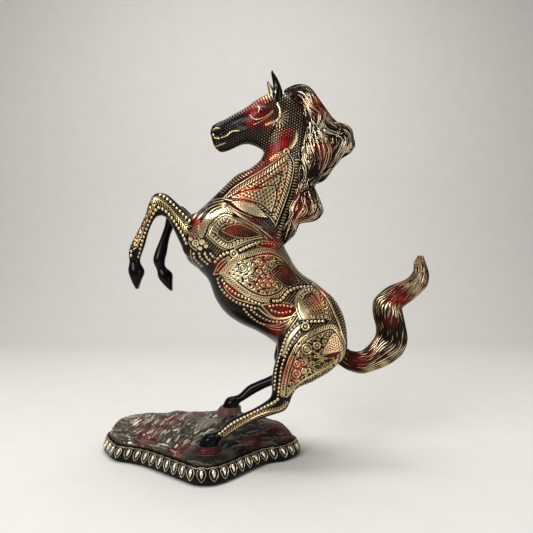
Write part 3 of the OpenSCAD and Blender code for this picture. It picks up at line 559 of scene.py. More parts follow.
def plain_finish(name, low, high, metallic, roughness, grain_mm, bump_mm):
    """A finish of two close colours in a noise of the grain's size, with a bump of the same grain."""
    material, tree = blank_material(name)
    place = add(tree, "ShaderNodeTexCoord").outputs["Object"]
    grain = noise(tree, place, grain_mm, 4.0)
    colour = mixed(tree, grain, linear(low), linear(high))
    bump = add(tree, "ShaderNodeBump", {"Height": grain, "Distance": bump_mm * MM})
    shader = add(tree, "ShaderNodeBsdfPrincipled", {
        "Base Color": colour, "Metallic": metallic, "Roughness": roughness, "Normal": bump.outputs[0]})
    add(tree, "ShaderNodeOutputMaterial", {"Surface": shader.outputs[0]})
    return material


felted_wool = plain_finish(
    "felted_wool", "#16281f", "#2b4436", metallic=0.0, roughness=0.95, grain_mm=0.6, bump_mm=0.25)
bright_zinc = plain_finish(
    "bright_zinc", "#aeb2b6", "#cfd2d4", metallic=1.0, roughness=0.3, grain_mm=0.5, bump_mm=0.01)
sawn_brass = plain_finish(
    "sawn_brass", "#a98748", "#cfae6c", metallic=1.0, roughness=0.38, grain_mm=0.4, bump_mm=0.02)
hidden_finishes = {
    felted_wool: ["base_felt"],
    bright_zinc: ["hoof_studs", "stud_washers", "stud_nuts", "tail_stud", "tail_washer", "tail_nut"],
    sawn_brass: ["seam_pins", "neck_sleeve", "poll_sleeve", "shoulder_pegs", "hip_pegs"]}
for material, names in hidden_finishes.items():
    for name in names:
        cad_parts[name].data.materials.clear()
        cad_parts[name].data.materials.append(material)

# Torso and neck: four half shells cast in brass and brazed along the median plane. The outside is
# engraved with nested leaves, bead rows and scrolls, filled with black and red lacquer, and rubbed
# back so that the raised work shines as pale brass. The belly is left plain black.

SOLE_X, SOLE_Z = 15.0, 25.0
DRAW_X, DRAW_Y = 266.5, 285.0
SPACING, CREASE = 0.5, 75
torso_table = [
    (117, 63, 132.5, 87, 15.9), (92, 60, 133, 97, 30), (74, 76, 130.5, 112, 35.9), (60, 91, 124.5, 126, 37),
    (44, 101, 115, 138, 35.9), (27, 109, 103, 149, 35.9), (13, 119, 90, 157.5, 35.9),
    (3, 133, 82, 166, 35.2), (-4, 151, 76, 176.5, 34.4), (-13, 161.5, 72, 184, 34),
    (-26, 174, 70.5, 191, 32.9), (-25, 194, 71.5, 198, 31.8), (-19, 215, 74, 206, 28.9)]
neck_table = [
    (-5, 229, 78, 216, 25), (9, 243, 82, 227, 22), (23, 256, 86, 240, 19.5), (37, 263, 89, 255, 18),
    (46.5, 271, 91.5, 272, 16.5), (50.5, 278, 94, 292, 15.5), (50, 281, 93, 314, 15),
    (49, 282.5, 84, 334, 14.5)]
head_table = [
    (48, 283, 67, 340, 14.55), (43.5, 285.5, 53, 336.5, 15), (36, 288, 42, 330.5, 13.95),
    (29, 287.5, 33, 324, 11.55), (21, 284, 23, 318.5, 9.45), (14, 281, 13, 313, 8.7),
    (8, 280, 4.5, 309, 8.55), (3.5, 283, -0.5, 305.5, 7.05), (0.5, 287, -2.5, 300, 4.5)]
NECK_SEAM = len(torso_table)
POLL_SEAM = NECK_SEAM + len(neck_table) - 1


def sections(table):
    """Rows of front x and z, back x and z, middle y and half width, moved onto the rock."""
    rows = np.array([row[:4] + (0.0, row[4]) for row in table], float)
    return rows + [SOLE_X, SOLE_Z, SOLE_X, SOLE_Z, 0, 0]


def loft(rows, angles):
    """An oval about each row: the middle, plus half of front less back times the cosine, plus the half
    width times the sine along y."""
    front = np.stack([rows[:, 0], rows[:, 4], rows[:, 1]], axis=1)
    back = np.stack([rows[:, 2], rows[:, 4], rows[:, 3]], axis=1)
    grid = ((front + back) / 2)[:, None] + ((front - back) / 2)[:, None] * np.cos(angles)[None, :, None]
    grid[:, :, 1] += rows[:, 5:6] * np.sin(angles)[None]
    return grid


def even_rows(table, first, last, spacing):
    """Row numbers at which the sections' widest lines lie the given spacing apart, on the mean of three
    lines."""
    fine = np.linspace(first, last, 1200)
    grid = loft(through(table, fine), np.radians([0, -90, -180]))
    step = np.linalg.norm(np.diff(grid, axis=0), axis=2).mean(axis=1)
    length = np.concatenate([[0], np.cumsum(step)])
    return np.interp(np.linspace(0, length[-1], int(length[-1] / spacing) + 2), length, fine)


body_table = np.concatenate([sections(torso_table), sections(neck_table), sections(head_table)])


def curve(points, per=10):
    """The cubic through a few points, as a line of many."""
    points = np.array(points, float)
    if len(points) == 2:
        return points[0] + (points[1] - points[0]) * np.linspace(0, 1, per)[:, None]
    return through(points, np.linspace(0, len(points) - 1, (len(points) - 1) * per + 1))


def soft(x, width=0.5):
    """A step at zero that rises over the given width."""
    return np.clip(0.5 + x / width, 0.0, 1.0)


class Engraving:
    """The engraver's drawing of the horse's side, seen square from the side by an eye at a set distance,
    laid on a piece's points. It keeps how bare the brass is, how red the lacquer is, how high the work
    stands and how clean the metal is rubbed, with painted highlights and painted shade in that last."""

    cleanness = {
        "stipple": 1.0, "few_dots": 1.0, "barbs": 0.7, "notch": 0.6, "red_specks": 0.6, "gold": 0.5,
        "feather": 0.4, "dots": 0.3, "scroll": 0.25}

    def __init__(self, grid, normals):
        x, y, z = grid.reshape(-1, 3).T
        nx, ny, nz = normals.reshape(-1, 3).T
        near = (EYE - np.abs(y)) / EYE
        self.u = DRAW_X + (x - EYE_X) / near
        self.v = DRAW_Y - (z - EYE_Z) / near
        steep = 1 / np.maximum(np.abs(ny), 0.3)
        self.slope_u, self.slope_v = nx * steep, -nz * steep
        self.gold, self.red, self.relief, self.tone = (np.zeros(len(x)) for _ in range(4))

    def lay(self, at, mask, gold, red=0.0, relief=0.0, tone=0.25):
        """Turns the work at these points into the new work as far as the mask says."""
        self.gold[at] += (gold - self.gold[at]) * mask
        self.red[at] += (red - self.red[at]) * mask
        self.relief[at] += (relief - self.relief[at]) * mask
        self.tone[at] += (tone - self.tone[at]) * mask

    def near(self, path, margin):
        """Points inside the box round a line, widened by the margin."""
        low, high = path.min(0) - margin, path.max(0) + margin
        return np.flatnonzero((self.u > low[0]) & (self.u < high[0]) & (self.v > low[1]) & (self.v < high[1]))

    def along(self, path, margin):
        """Points near a line, their distance from it, and the length along it to the nearest place. The
        distance is lengthened where the surface slopes away, so that round work stays round on it."""
        at = self.near(path, margin)
        a, way = path[:-1], np.diff(path, axis=0)
        long2 = np.maximum((way ** 2).sum(1), 1e-9)
        du, dv = self.u[at][:, None] - a[:, 0], self.v[at][:, None] - a[:, 1]
        t = np.clip((du * way[:, 0] + dv * way[:, 1]) / long2, 0, 1)
        du, dv = du - t * way[:, 0], dv - t * way[:, 1]
        far2 = du ** 2 + dv ** 2
        k = np.argmin(far2, axis=1)
        pick = np.arange(len(at))
        d = np.sqrt(far2[pick, k])
        lean = (du[pick, k] * self.slope_u[at] + dv[pick, k] * self.slope_v[at]) / np.maximum(d, 1e-6)
        starts = np.concatenate([[0], np.cumsum(np.sqrt(long2))])
        length = starts[k] + t[pick, k] * np.sqrt(long2[k])
        return at, d * np.sqrt(1 + lean ** 2), length, starts[-1]

    def line(self, points, width, gold=1.0, red=0.0, relief=0.2):
        """One cut of an even width along a line."""
        at, d, _, _ = self.along(curve(points), width * 2)
        self.lay(at, soft(width / 2 - d), gold, red, relief, 0.45)

    def beads(self, points, pitch=3.7, radius=1.35, ground=2.5):
        """Round beads at an even pitch along a line, on a strip of black."""
        at, d, length, total = self.along(curve(points), ground * 2)
        step = total / max(1, round(total / pitch))
        w = (length / step - np.floor(length / step) - 0.5) * step
        r = np.hypot(d, w)
        self.lay(at, soft(ground - d), 0.0, 0.0, -0.15)
        self.lay(at, soft(radius - r), 1.0, 0.0, 0.65 * np.sqrt(np.clip(1 - (r / radius) ** 2, 0, 1)), 0.5)

    def ring(self, u, v, radius):
        """A raised ring with a dot in its middle, on black."""
        at = self.near(np.array([(u, v)], float), radius * 2)
        r = np.hypot(self.u[at] - u, self.v[at] - v)
        self.lay(at, soft(radius + 0.9 - r), 0.0, 0.0, -0.2)
        self.lay(at, soft(0.75 - np.abs(r - radius + 0.8)), 1.0, 0.0, 0.45, 0.6)
        self.lay(at, soft(radius * 0.3 - r), 1.0, 0.0, 0.4, 0.6)

    def punches(self, places):
        """Round punch marks filled with black, each at u and v with its radius."""
        for u, v, radius in places:
            at = self.near(np.array([(u, v)], float), radius + 1)
            self.lay(at, soft(radius - np.hypot(self.u[at] - u, self.v[at] - v)), 0.0, 0.0, -0.3, 0.1)

    def cut(self, kind, at, d, length, middle, width):
        """One way of working a band: its bareness, redness and height."""
        u, v = self.u[at], self.v[at]
        one = np.ones(len(at))
        if kind == "gold":
            return one, 0 * one, 0.25 * one
        if kind == "black":
            return 0 * one, 0 * one, -0.25 * one
        if kind == "red":
            return 0 * one, 0.4 * one, -0.1 * one
        if kind in ("feather", "barbs"):
            pitch, share = (3.2, 0.42) if kind == "barbs" else (2.6, 0.52)
            stroke = np.abs(2 * ((length + 0.8 * d) / pitch % 1) - 1)
            inwards = np.clip((d - middle) / width + 0.5, 0, 1)
            gold = soft((share - stroke * (1 - 0.45 * inwards)) * 1.6, 0.5)
            return gold, 0 * one, 0.3 * gold
        if kind == "notch":
            w = (length / 3.9 % 1 - 0.5) * 3.9
            hole = soft(0.8 - np.hypot(np.maximum(0, middle - 0.15 * width - d), w + 0.25 * (d - middle)))
            return 1 - hole, 0 * one, 0.25 - 0.4 * hole
        if kind in ("dots", "red_dots", "red_specks", "few_dots"):
            size = {"red_specks": 0.72, "few_dots": 1.2}.get(kind, 1.0)
            hole_size = 0.95 if kind == "few_dots" else 1.1
            a, b = (0.94 * u + 0.34 * v) / size, (-0.34 * u + 0.94 * v) / size
            row = np.floor(b / 3.2)
            side = (a / 3.7 + 0.5 * (row % 2)) % 1 * 3.7 - 1.85
            hole = soft((hole_size - np.hypot(side, b - row * 3.2 - 1.6)) * size)
            return 1 - hole, hole * kind.startswith("red"), 0.15 - 0.4 * hole
        if kind == "hatch":
            line = soft((0.38 - np.abs(2 * ((length + 0.25 * d) / 2.3 % 1) - 1)) * 1.15, 0.6)
            return 0.6 * line, 0.12 * (1 - line), -0.15 + 0.15 * line
        if kind == "stipple":
            a, b = (u + 0.6 * np.sin(1.9 * v)) / 2.4, (v + 0.6 * np.sin(2.3 * u)) / 2.4
            hole = soft(0.75 - np.hypot(a % 1 - 0.5, b % 1 - 0.5) * 2.4)
            return 1 - 0.8 * hole, 0 * one, 0.15 - 0.25 * hole
        if kind == "scroll":
            cell = 8.2
            row = np.floor(v / (cell * 0.86))
            side = (u / cell + 0.5 * (row % 2)) % 1 * cell - cell / 2
            rise = v - row * cell * 0.86 - cell * 0.43
            hand = np.where((np.floor(u / cell + 0.5 * (row % 2)) + row) % 2 > 0, 1.0, -1.0)
            r = np.hypot(side, rise)
            wind = np.abs(2 * ((r / 2.5 - hand * np.arctan2(rise, side) / (2 * np.pi)) % 1) - 1)
            curl = soft((0.45 - wind) * 1.1, 0.5) * soft(3.9 - r)
            groove = np.maximum(curl, soft(0.8 - np.abs(r - 4.4)) * (wind > 0.5))
            return 1 - groove, 0 * one, 0.25 - 0.5 * groove
        raise ValueError(kind)

    def leaf(self, runs, bands, field=None):
        """A closed leaf whose edge is made of smooth runs between sharp tips, each from the tip where
        the run before it ends. Bands follow each other inwards from the edge, each with its width and
        its kind of cut, and the field fills what is left."""
        tips = [run[-1] for run in runs]
        path = np.concatenate([curve([tip] + run) for tip, run in zip(tips[-1:] + tips, runs)])
        path = np.concatenate([path, path[:1]])
        at, d, length, total = self.along(path, 1.5)
        a, b = path[:-1], path[1:]
        u, v = self.u[at][:, None], self.v[at][:, None]
        crosses = (a[:, 1] > v) != (b[:, 1] > v)
        rise = np.where(np.abs(b[:, 1] - a[:, 1]) < 1e-9, 1e-9, b[:, 1] - a[:, 1])
        inner = (crosses & (u < (b[:, 0] - a[:, 0]) * (v - a[:, 1]) / rise + a[:, 0])).sum(1) % 2 == 1
        d = np.where(inner, d, -d)
        start = 0.0
        for width, kind in list(bands) + ([(99.0, field)] if field else []):
            gold, red, relief = self.cut(kind, at, d, length, start + width / 2, width)
            clean_and_highlit = self.cleanness.get(kind, 0.15)
            self.lay(at, soft(d - start) * soft(start + width - d), gold, red, relief, clean_and_highlit)
            start += width

    def stain(self, places):
        """Soft red patches in the lacquer, and thin red over the bare work."""
        self.red = np.maximum(self.red, blobs(self.u, self.v, places))

    def paint_highlights_and_shade(self, highlight_places, shade_places):
        """Painted highlights, where the metal is made paler, and painted shade, where it is made browner."""
        self.tone += 0.8 * blobs(self.u, self.v, highlight_places) * (1 - self.tone)
        self.tone *= 1 - blobs(self.u, self.v, shade_places)

    def keep(self, mask):
        """Leaves the work only as far as the mask says."""
        for channel in (self.gold, self.red, self.relief):
            channel *= mask

    def raised(self, grid, normals):
        """The piece's points, lifted by the height of the work on them."""
        return grid + normals * self.relief.reshape(grid.shape[:2] + (1,))

    def values(self):
        """What the lacquer reads at each point: bareness, redness and how clean the metal is, with painted
        highlights and painted shade in it.
        """
        return {"gold": [self.gold], "red": [self.red], "tone": [self.tone]}


def stroke_band(work, points, width, pitch, lean, gold=1.0, red=0.0, share=0.55, tone=0.4):
    """Short slanting strokes across a strip of black along a line, cut off square at its ends."""
    at, d, length, total = work.along(curve(points), width)
    stroke = np.abs(2 * ((length + lean * d) / pitch % 1) - 1)
    strip = soft(width / 2 - d) * (length > 0) * (length < total)
    work.lay(at, strip, gold * soft((share - stroke) * pitch / 2), red, 0.15 - 0.25 * stroke, tone)


def punched_rows(work, mask, pitch=2.7, radius=0.58):
    """Fine round punch marks in staggered rows, bright on black."""
    a, b = 0.82 * work.u + 0.57 * work.v, -0.57 * work.u + 0.82 * work.v
    row = np.floor(b / (pitch * 0.9))
    r = np.hypot((a / pitch + 0.5 * (row % 2)) % 1 * pitch - pitch / 2, b - (row + 0.5) * pitch * 0.9)
    dot = soft(radius - r, 0.5)
    cheek = eased((work.u - 250) / 40)
    gold, tone = dot * (0.5 + 0.25 * cheek), 0.2 + 0.7 * cheek
    work.lay(np.arange(len(work.u)), mask, gold, 0.0, 0.2 * dot, tone)


def slanting_ground(work):
    """Fine slanting strokes over the back and the rump, fading to plain black under the belly."""
    u, v = work.u, work.v
    above = eased((u - (212 + 0.83 * (v - 262)) - np.where(v > 262, 4, 0)) / 10)
    stroke = np.abs(2 * ((0.8 * u + 0.6 * v) / 2.5 % 1) - 1)
    mask = above * (v > 225) * (v < 400)
    work.lay(np.arange(len(u)), mask, 0.52 * soft((0.45 - stroke) * 1.3), 0.0, 0.1 - 0.2 * stroke)


def neck_bands(work):
    """The front of the neck and the two hatched bands beside the mane."""
    stroke_band(work, [(262, 160), (250, 169), (232, 181), (219, 193)], 9, 3.0, 0.3, 0.9, 0.0, 0.36, 0.8)
    stroke_band(
        work, [(303, 152), (304, 175), (300, 200), (291, 220), (284, 242)], 6, 3.0, -0.1, 1.0, 0.0, 0.4,
        0.9)
    stroke_band(
        work, [(298, 158), (297, 176), (292, 197), (285, 216), (278, 238)], 5.5, 3.0, -0.1, 1.0, 0.0, 0.4,
        0.8)


def neck_leaf(work):
    """The neck leaf, nested inwards to a dotted field, and the pale lens below it."""
    work.leaf(
        [[(294, 163), (292, 180), (286, 200), (276, 226)], [(266, 214), (248, 205), (222, 199)],
         [(234, 187), (250, 177), (268, 166), (288, 151)]],
        [(1.0, "gold"), (1.2, "black"), (4.0, "barbs"), (1.0, "red"), (4.2, "red_dots"), (1.2, "black")],
        "dots")
    work.red *= 1 - blobs(work.u, work.v, [(291, 170, 9, 1.0), (288, 186, 9, 1.0), (282, 204, 9, 1.0)])
    work.leaf(
        [[(243, 191), (260, 187), (276, 184)], [(277, 197), (272, 215)],
         [(262, 206), (248, 201), (226, 198)]], [(1.5, "black"), (0.9, "gold")], "dots")
    work.line([(234, 194.5), (247, 190.3), (262, 187.6)], 1.9, 0.0, 1.0, -0.1)
    work.leaf(
        [[(242, 200.5), (257, 204.5), (270, 219)], [(254, 216.5), (240, 210), (229, 201)]],
        [(1.0, "black")], "stipple")
    work.leaf(
        [[(240, 212), (256, 219), (272, 232)], [(258, 226), (240, 217), (226, 203)]],
        [(0.8, "gold"), (0.7, "black")], "hatch")
    work.leaf([[(264, 219), (274, 230)], [(272, 236), (262, 227), (252, 217.5)]], [(0.6, "black")], "hatch")
    work.line([(224, 205), (236, 213), (250, 222), (262, 230), (272, 238)], 1.2, 1.0, 0.25, 0.4)
    work.line([(224, 206), (234, 216), (246, 222), (258, 230)], 0.8, 1.0, 0.3, 0.3)
    work.ring(223.5, 205, 2.6)


def shoulder_leaf(work):
    """The shoulder's bright feathered edge, a painted sheen on the lower throat, the eye leaf and its dark
    lens.
    """
    # Painted sheen: a pale haze of bare metal over the lower throat, standing in for a grey reflection.
    painted_highlight = blobs(work.u, work.v, [(214, 201, 5, 0.9), (206, 208, 6, 0.9), (199, 215, 4, 0.6)])
    work.gold = np.maximum(work.gold, 0.45 * painted_highlight)
    for rise in (-6, -3, 0, 3.5):
        work.line(
            [(196 + rise, 222 + rise), (203 + rise, 213 + rise), (213, 206 + rise),
             (223, 203 + 0.8 * rise)], 1.0, 0.9)
    stroke_band(
        work, [(198, 238), (202, 229.5), (208, 221), (215.5, 215), (224, 211.5), (233, 213)], 9, 2.7, 0.9,
        1.0, 0.0, 0.7, 0.9)
    work.line([(204, 237), (210, 224), (223.5, 213.5), (237, 217.3)], 1.3, 0.0, 0.0, -0.25)
    work.leaf(
        [[(212, 224), (224, 215), (237, 219), (252, 226), (268, 239)],
         [(252, 242), (239, 247), (229, 250.5), (219, 247), (206, 236)]],
        [(0.9, "gold"), (1.0, "black"), (5.2, "notch"), (1.2, "black"), (0.8, "gold")], "hatch")
    work.leaf(
        [[(228, 225), (240, 223.5), (252, 228), (264, 236)], [(249, 239), (234, 238), (219, 231)]],
        [(0.9, "black"), (0.7, "gold")], "hatch")
    dark = blobs(work.u, work.v, [(260, 233, 13, 0.85), (268, 236, 10, 0.8)])
    work.gold *= 1 - 0.4 * dark * (work.gold > 0.2)


def chest_rings(work):
    """The chest, with its rings and its arcs of beads."""
    work.leaf(
        [[(192, 228), (200, 220)], [(199, 232), (203, 247), (198, 252)], [(191, 247), (188, 240)]],
        [(0.8, "gold"), (0.8, "black")], "feather")
    work.leaf([[(199, 237), (209, 243)], [(200, 251.5), (190, 243)]], [(0.8, "black")], "stipple")
    for cu, cv, r in ((195.5, 243, 3.6), (202, 242, 2.8), (200, 248.5, 2.3), (190.5, 239, 2.0),
            (206, 246, 2.2)):
        work.ring(cu, cv, r)
    for offset in (0, 5.6, 11.2, 16.8):
        work.beads(
            [(193.5 + offset, 252), (195 + offset, 259 - 0.2 * offset),
             (203 + offset, 267 - 0.35 * offset)], 3.7, 1.35, 2.3)
    work.line([(190.5, 250), (192, 260), (200, 270)], 0.9)
    work.line([(205, 252), (207, 259), (214, 264)], 0.8)


def girth_beads(work):
    """The girth, with its beads, wedges and ring."""
    work.leaf([[(219, 263), (230, 256)], [(228, 264), (220, 274)], [(213, 275)]], [(0.8, "gold")], "red")
    work.line([(217, 271), (223, 264), (229, 259)], 0.9)
    work.line([(220, 272), (226, 265), (231, 260)], 0.7)
    work.beads([(214, 263), (221, 256), (229, 252)], 4.0, 1.5, 2.8)
    work.beads([(239, 251), (248, 246.5), (258, 242.5), (264, 241)], 3.4, 1.45, 2.8)
    work.leaf([[(263, 240.5), (280, 244)], [(270, 248.5), (256, 246)]], [(0.6, "gold")], "red")
    work.beads([(261, 244), (268, 243.5), (276, 245)], 3.0, 0.9, 0.4)
    work.ring(234, 253.5, 4.0)


def barrel_paisley(work):
    """The barrel's paisley with scrolls and a red flower, and the dark leaf at its end."""
    work.leaf(
        [[(230, 260.5), (244, 253), (260, 248.5), (275, 249.5), (287, 258), (293, 271), (291, 287),
          (282, 297), (267, 302), (251, 298), (236, 288), (219, 273)]],
        [(0.7, "gold"), (4.8, "feather"), (1.6, "black"), (0.8, "gold")], "scroll")
    work.leaf(
        [[(236, 263.5), (251, 258)], [(253, 268), (247, 286)], [(236, 280), (227, 272.5)]], [(0.5, "gold")],
        "few_dots")
    work.line([(262, 253), (272, 253), (281, 258)], 1.0, 0.0, 1.0, 0.0)
    work.line([(236, 285), (250, 294), (266, 298), (278, 295)], 0.8, 0.3, 1.0, 0.0)
    for cu, cv, r in ((243, 268, 4.2), (259, 262, 3.6), (252, 278, 3.0)):
        work.ring(cu, cv, r)
        work.ring(cu, cv, r * 0.45)
    for turn in np.linspace(0, 2 * np.pi, 7)[:-1]:
        work.ring(266 + 5.6 * math.cos(turn), 281 + 5.2 * math.sin(turn), 1.9)
    work.ring(266, 281, 2.6)
    work.punches([
        (247, 258, 1.4), (252, 262.5, 1.3), (238, 264.5, 1.2), (247, 274, 1.3), (243, 279.5, 1.4),
        (250, 284.5, 1.5), (256, 269, 1.3), (263, 257, 1.2), (268, 259.5, 1.3), (254, 256.5, 1.1),
        (276, 290, 1.4), (258, 291.5, 1.3), (268, 293, 1.2), (277, 259, 1.2)])
    work.leaf(
        [[(278, 263), (290, 266), (301, 283)], [(291, 288), (282, 285), (268, 271)]],
        [(1.2, "black"), (0.7, "gold"), (0.9, "black")], "hatch")
    work.gold *= 1 - 0.3 * blobs(work.u, work.v, [(288, 277, 9, 0.9)])
    stroke_band(work, [(281, 249), (289, 260), (300, 273), (316, 284)], 5, 2.6, 0.8, 0.9)
    work.line([(279, 251), (287, 262), (297, 274), (309, 284)], 0.9)


def belly_rows(work):
    """The belly's bead rows and crescents."""
    work.leaf(
        [[(232, 284), (244, 294), (256, 302)], [(238, 300), (226, 290), (219, 276)]], [(0.7, "gold")],
        "red")
    work.line([(226, 281), (236, 289), (248, 297)], 0.7)
    work.beads([(217, 277), (219.5, 286), (226, 294.5), (235, 301.5), (244, 305), (257, 309)], 3.8, 1.4)
    work.beads([(221, 279), (226, 286), (235, 293.5), (245, 298), (256, 303), (268, 308)], 3.7, 1.35, 1.9)
    work.line([(224, 286), (230, 294), (240, 300), (254, 304)], 0.8)
    work.leaf(
        [[(275, 302.5), (289, 303), (299, 309)], [(289, 318), (273, 317), (261, 305)]],
        [(0.9, "gold"), (0.6, "black")], "red")
    work.beads([(268, 306.5), (280, 305), (293, 307)], 3.6, 1.15, 0.4)
    work.beads([(270, 310), (281, 313), (292, 311)], 3.6, 1.15, 0.4)
    work.line([(258, 308), (268, 316), (281, 319), (296, 315)], 1.2)
    work.beads([(243, 308), (250, 316), (260, 323), (276, 329)], 3.7, 1.35)
    work.beads([(250, 309), (259, 316), (271, 321.5), (286, 322)], 3.7, 1.25, 1.9)
    work.leaf([[(276, 325), (292, 318)], [(284, 329), (271, 329), (262, 323)]], [(0.7, "gold")], "red")
    work.line([(268, 326), (280, 327), (291, 321)], 0.8)


def rump_leaf(work):
    """The rump leaf, the bead band before it, the dotted strip and the ridge line down the back."""
    work.beads([(272, 301), (281, 300), (288, 292), (299, 287), (314, 286)], 3.7, 1.5, 3.0)
    work.leaf(
        [[(301, 290), (312, 287), (321, 294), (328, 306), (331, 319)],
         [(318, 320.5), (304, 322), (297, 312), (295, 299)]],
        [(0.9, "gold"), (0.8, "black"), (3.2, "notch"), (0.9, "black"), (0.7, "gold")], "hatch")
    work.leaf(
        [[(302, 303), (309, 311), (314, 321)], [(304, 322), (298, 312), (296, 297)]],
        [(0.9, "gold"), (0.7, "black")], "notch")
    for bend in (-2.2, 0, 2.2, 4.4, 6.6):
        work.line(
            [(305 + bend, 300 - 0.6 * bend), (312 + bend, 308 - 0.6 * bend),
             (318 + bend, 317 - 0.4 * bend)], 0.7, 0.85)
    work.leaf([[(325, 297), (333, 316)], [(325, 307), (318, 296), (316, 285)]], [(0.5, "gold")], "red_dots")
    stroke_band(work, [(317, 280), (333, 296), (343, 315), (348, 338)], 9, 2.8, -0.2, 1.0, 0.0, 0.5, 0.9)
    ridge_line = [(313, 284), (326, 297), (335, 314), (341, 330), (345, 343)]
    work.line(ridge_line, 4.4, 0.0, 0.0, -0.3)
    work.line(ridge_line, 2.5, 1.0, 0.0, 0.7)


def thigh_paisley(work):
    """The thigh's doubled beads and big paisley."""
    work.beads([(298, 323), (304, 322), (313, 321.5), (325, 321)], 3.8, 1.4, 2.6)
    work.line([(300, 326), (293, 333.5), (287.5, 342), (283, 354)], 4.2, 1.0, 0.0, 0.25)
    work.beads(
        [(299, 323), (291, 330), (286, 337), (282, 348), (279, 357), (276.5, 366), (275, 375), (274, 391)],
        4.0, 1.5, 2.1)
    work.beads(
        [(301, 331), (295, 338), (289, 348), (284, 359), (281, 369), (279.5, 380), (278, 398)], 4.0, 1.4,
        1.9)
    work.leaf(
        [[(281.5, 384), (286, 366), (292, 351), (302, 338), (316, 329), (334, 325), (345, 343), (343, 359),
          (335, 373)], [(319, 381), (306, 388), (295, 396), (280, 404)]],
        [(0.7, "gold"), (4.0, "feather"), (1.4, "black"), (0.8, "gold")], "scroll")
    work.line([(295, 352), (290, 361), (286.8, 370), (284.3, 381), (283.3, 390)], 1.1, 0.0, 1.0, -0.2)
    work.leaf(
        [[(326, 343), (334.5, 332), (344, 346)], [(341, 352), (320, 355)]], [(0.8, "black"), (1.6, "gold")],
        "red_specks")
    work.leaf([[(330, 353), (343, 350)], [(334, 358), (318, 357)]], [(0.6, "gold")], "red")
    work.leaf(
        [[(317, 363), (326, 366)], [(318, 371), (311, 367)]], [(0.8, "black"), (0.6, "gold")], "hatch")
    work.ring(305.5, 326.5, 4.2)
    for cu, cv, r in ((307, 349, 5.6), (317, 345.5, 4.0), (297, 364, 3.6), (296.5, 374, 4.2),
            (304, 371, 3.0)):
        work.ring(cu, cv, r)
    work.ring(307, 349, 3.0)
    for turn in np.linspace(0.3, 6.58, 7)[:-1]:
        work.punches([(317 + 5.4 * math.cos(turn), 345.5 + 5.0 * math.sin(turn), 1.5)])
    work.punches([
        (313, 354, 1.5), (309, 358.5, 1.4), (316, 359.5, 1.7), (304, 378, 1.5), (309.5, 374.5, 1.6),
        (300, 358, 1.4), (294, 354.5, 1.2), (299, 344, 1.2), (328, 361, 1.8), (333, 364, 1.5),
        (322, 364, 1.6), (289, 386, 1.4), (292, 380, 1.2), (336, 357.5, 1.2)])
    stroke_band(
        work, [(340, 365), (322, 375), (311, 380.5), (301, 386.5), (288, 399)], 5, 2.6, 0.3, 0.7, 0.0, 0.35)
    work.line(
        [(338, 360), (330, 365.5), (320, 371), (311, 376), (303, 380.5), (295, 387), (284, 400)], 1.6, 1.0,
        0.0, 0.4)


def stains_and_painted_light(work):
    """Red rubbed into the grooves, painted highlights where the metal is made paler and painted shade where
    it is made browner.
    """
    work.stain([
        (197, 224, 6, 0.95), (194, 233, 5, 0.7), (266, 281, 9, 0.9), (262, 261, 8, 0.55),
        (297, 366, 7, 0.95), (295, 376, 6, 0.8), (318, 303, 7, 0.6), (270, 244, 8, 0.7), (221, 266, 6, 0.8),
        (231, 290, 6, 0.6), (256, 172, 12, 0.55), (275, 158, 8, 0.8), (244, 197, 11, 0.9),
        (282, 310, 9, 0.3), (231, 229, 8, 0.45), (246, 224, 8, 0.3), (284, 270, 6, 0.25),
        (322, 292, 6, 0.7), (286, 372, 4, 0.6), (276, 326, 8, 0.6)])
    # Painted highlights: places where the metal is painted paler.
    clean_and_highlit = [
        (212, 214, 14, 0.9), (199, 244, 7, 1.0), (240, 270, 15, 0.8), (302, 311, 6, 1.0),
        (290, 338, 10, 0.8), (249, 210, 12, 0.8), (247, 296, 10, 0.7), (236, 272, 9, 0.9),
        (308, 373, 9, 0.7), (276, 172, 9, 0.7), (226, 241, 8, 0.7), (213, 236, 11, 1.0),
        (222, 221, 11, 0.9), (232, 247, 9, 0.9), (205, 228, 9, 0.9)]
    # Painted shade: places where the metal is painted browner.
    painted_shade = [
        (292, 190, 14, 0.8), (288, 210, 12, 0.8), (282, 262, 12, 0.7), (284, 288, 10, 0.6),
        (326, 362, 12, 0.9), (326, 336, 9, 0.7), (314, 352, 14, 0.9), (288, 372, 10, 0.7),
        (308, 332, 8, 0.6), (319, 312, 8, 0.6), (262, 240, 10, 0.7), (336, 310, 10, 0.5),
        (236, 306, 13, 0.7), (281, 309, 12, 0.8), (258, 320, 13, 0.7), (277, 378, 16, 0.5)]
    work.paint_highlights_and_shade(clean_and_highlit, painted_shade)


def engrave_side(work):
    """The drawing of one side from the neck to the thigh, laid from the ground up."""
    for area in (slanting_ground, neck_bands, neck_leaf, shoulder_leaf, chest_rings, girth_beads,
                 barrel_paisley, belly_rows, rump_leaf, thigh_paisley, stains_and_painted_light):
        area(work)


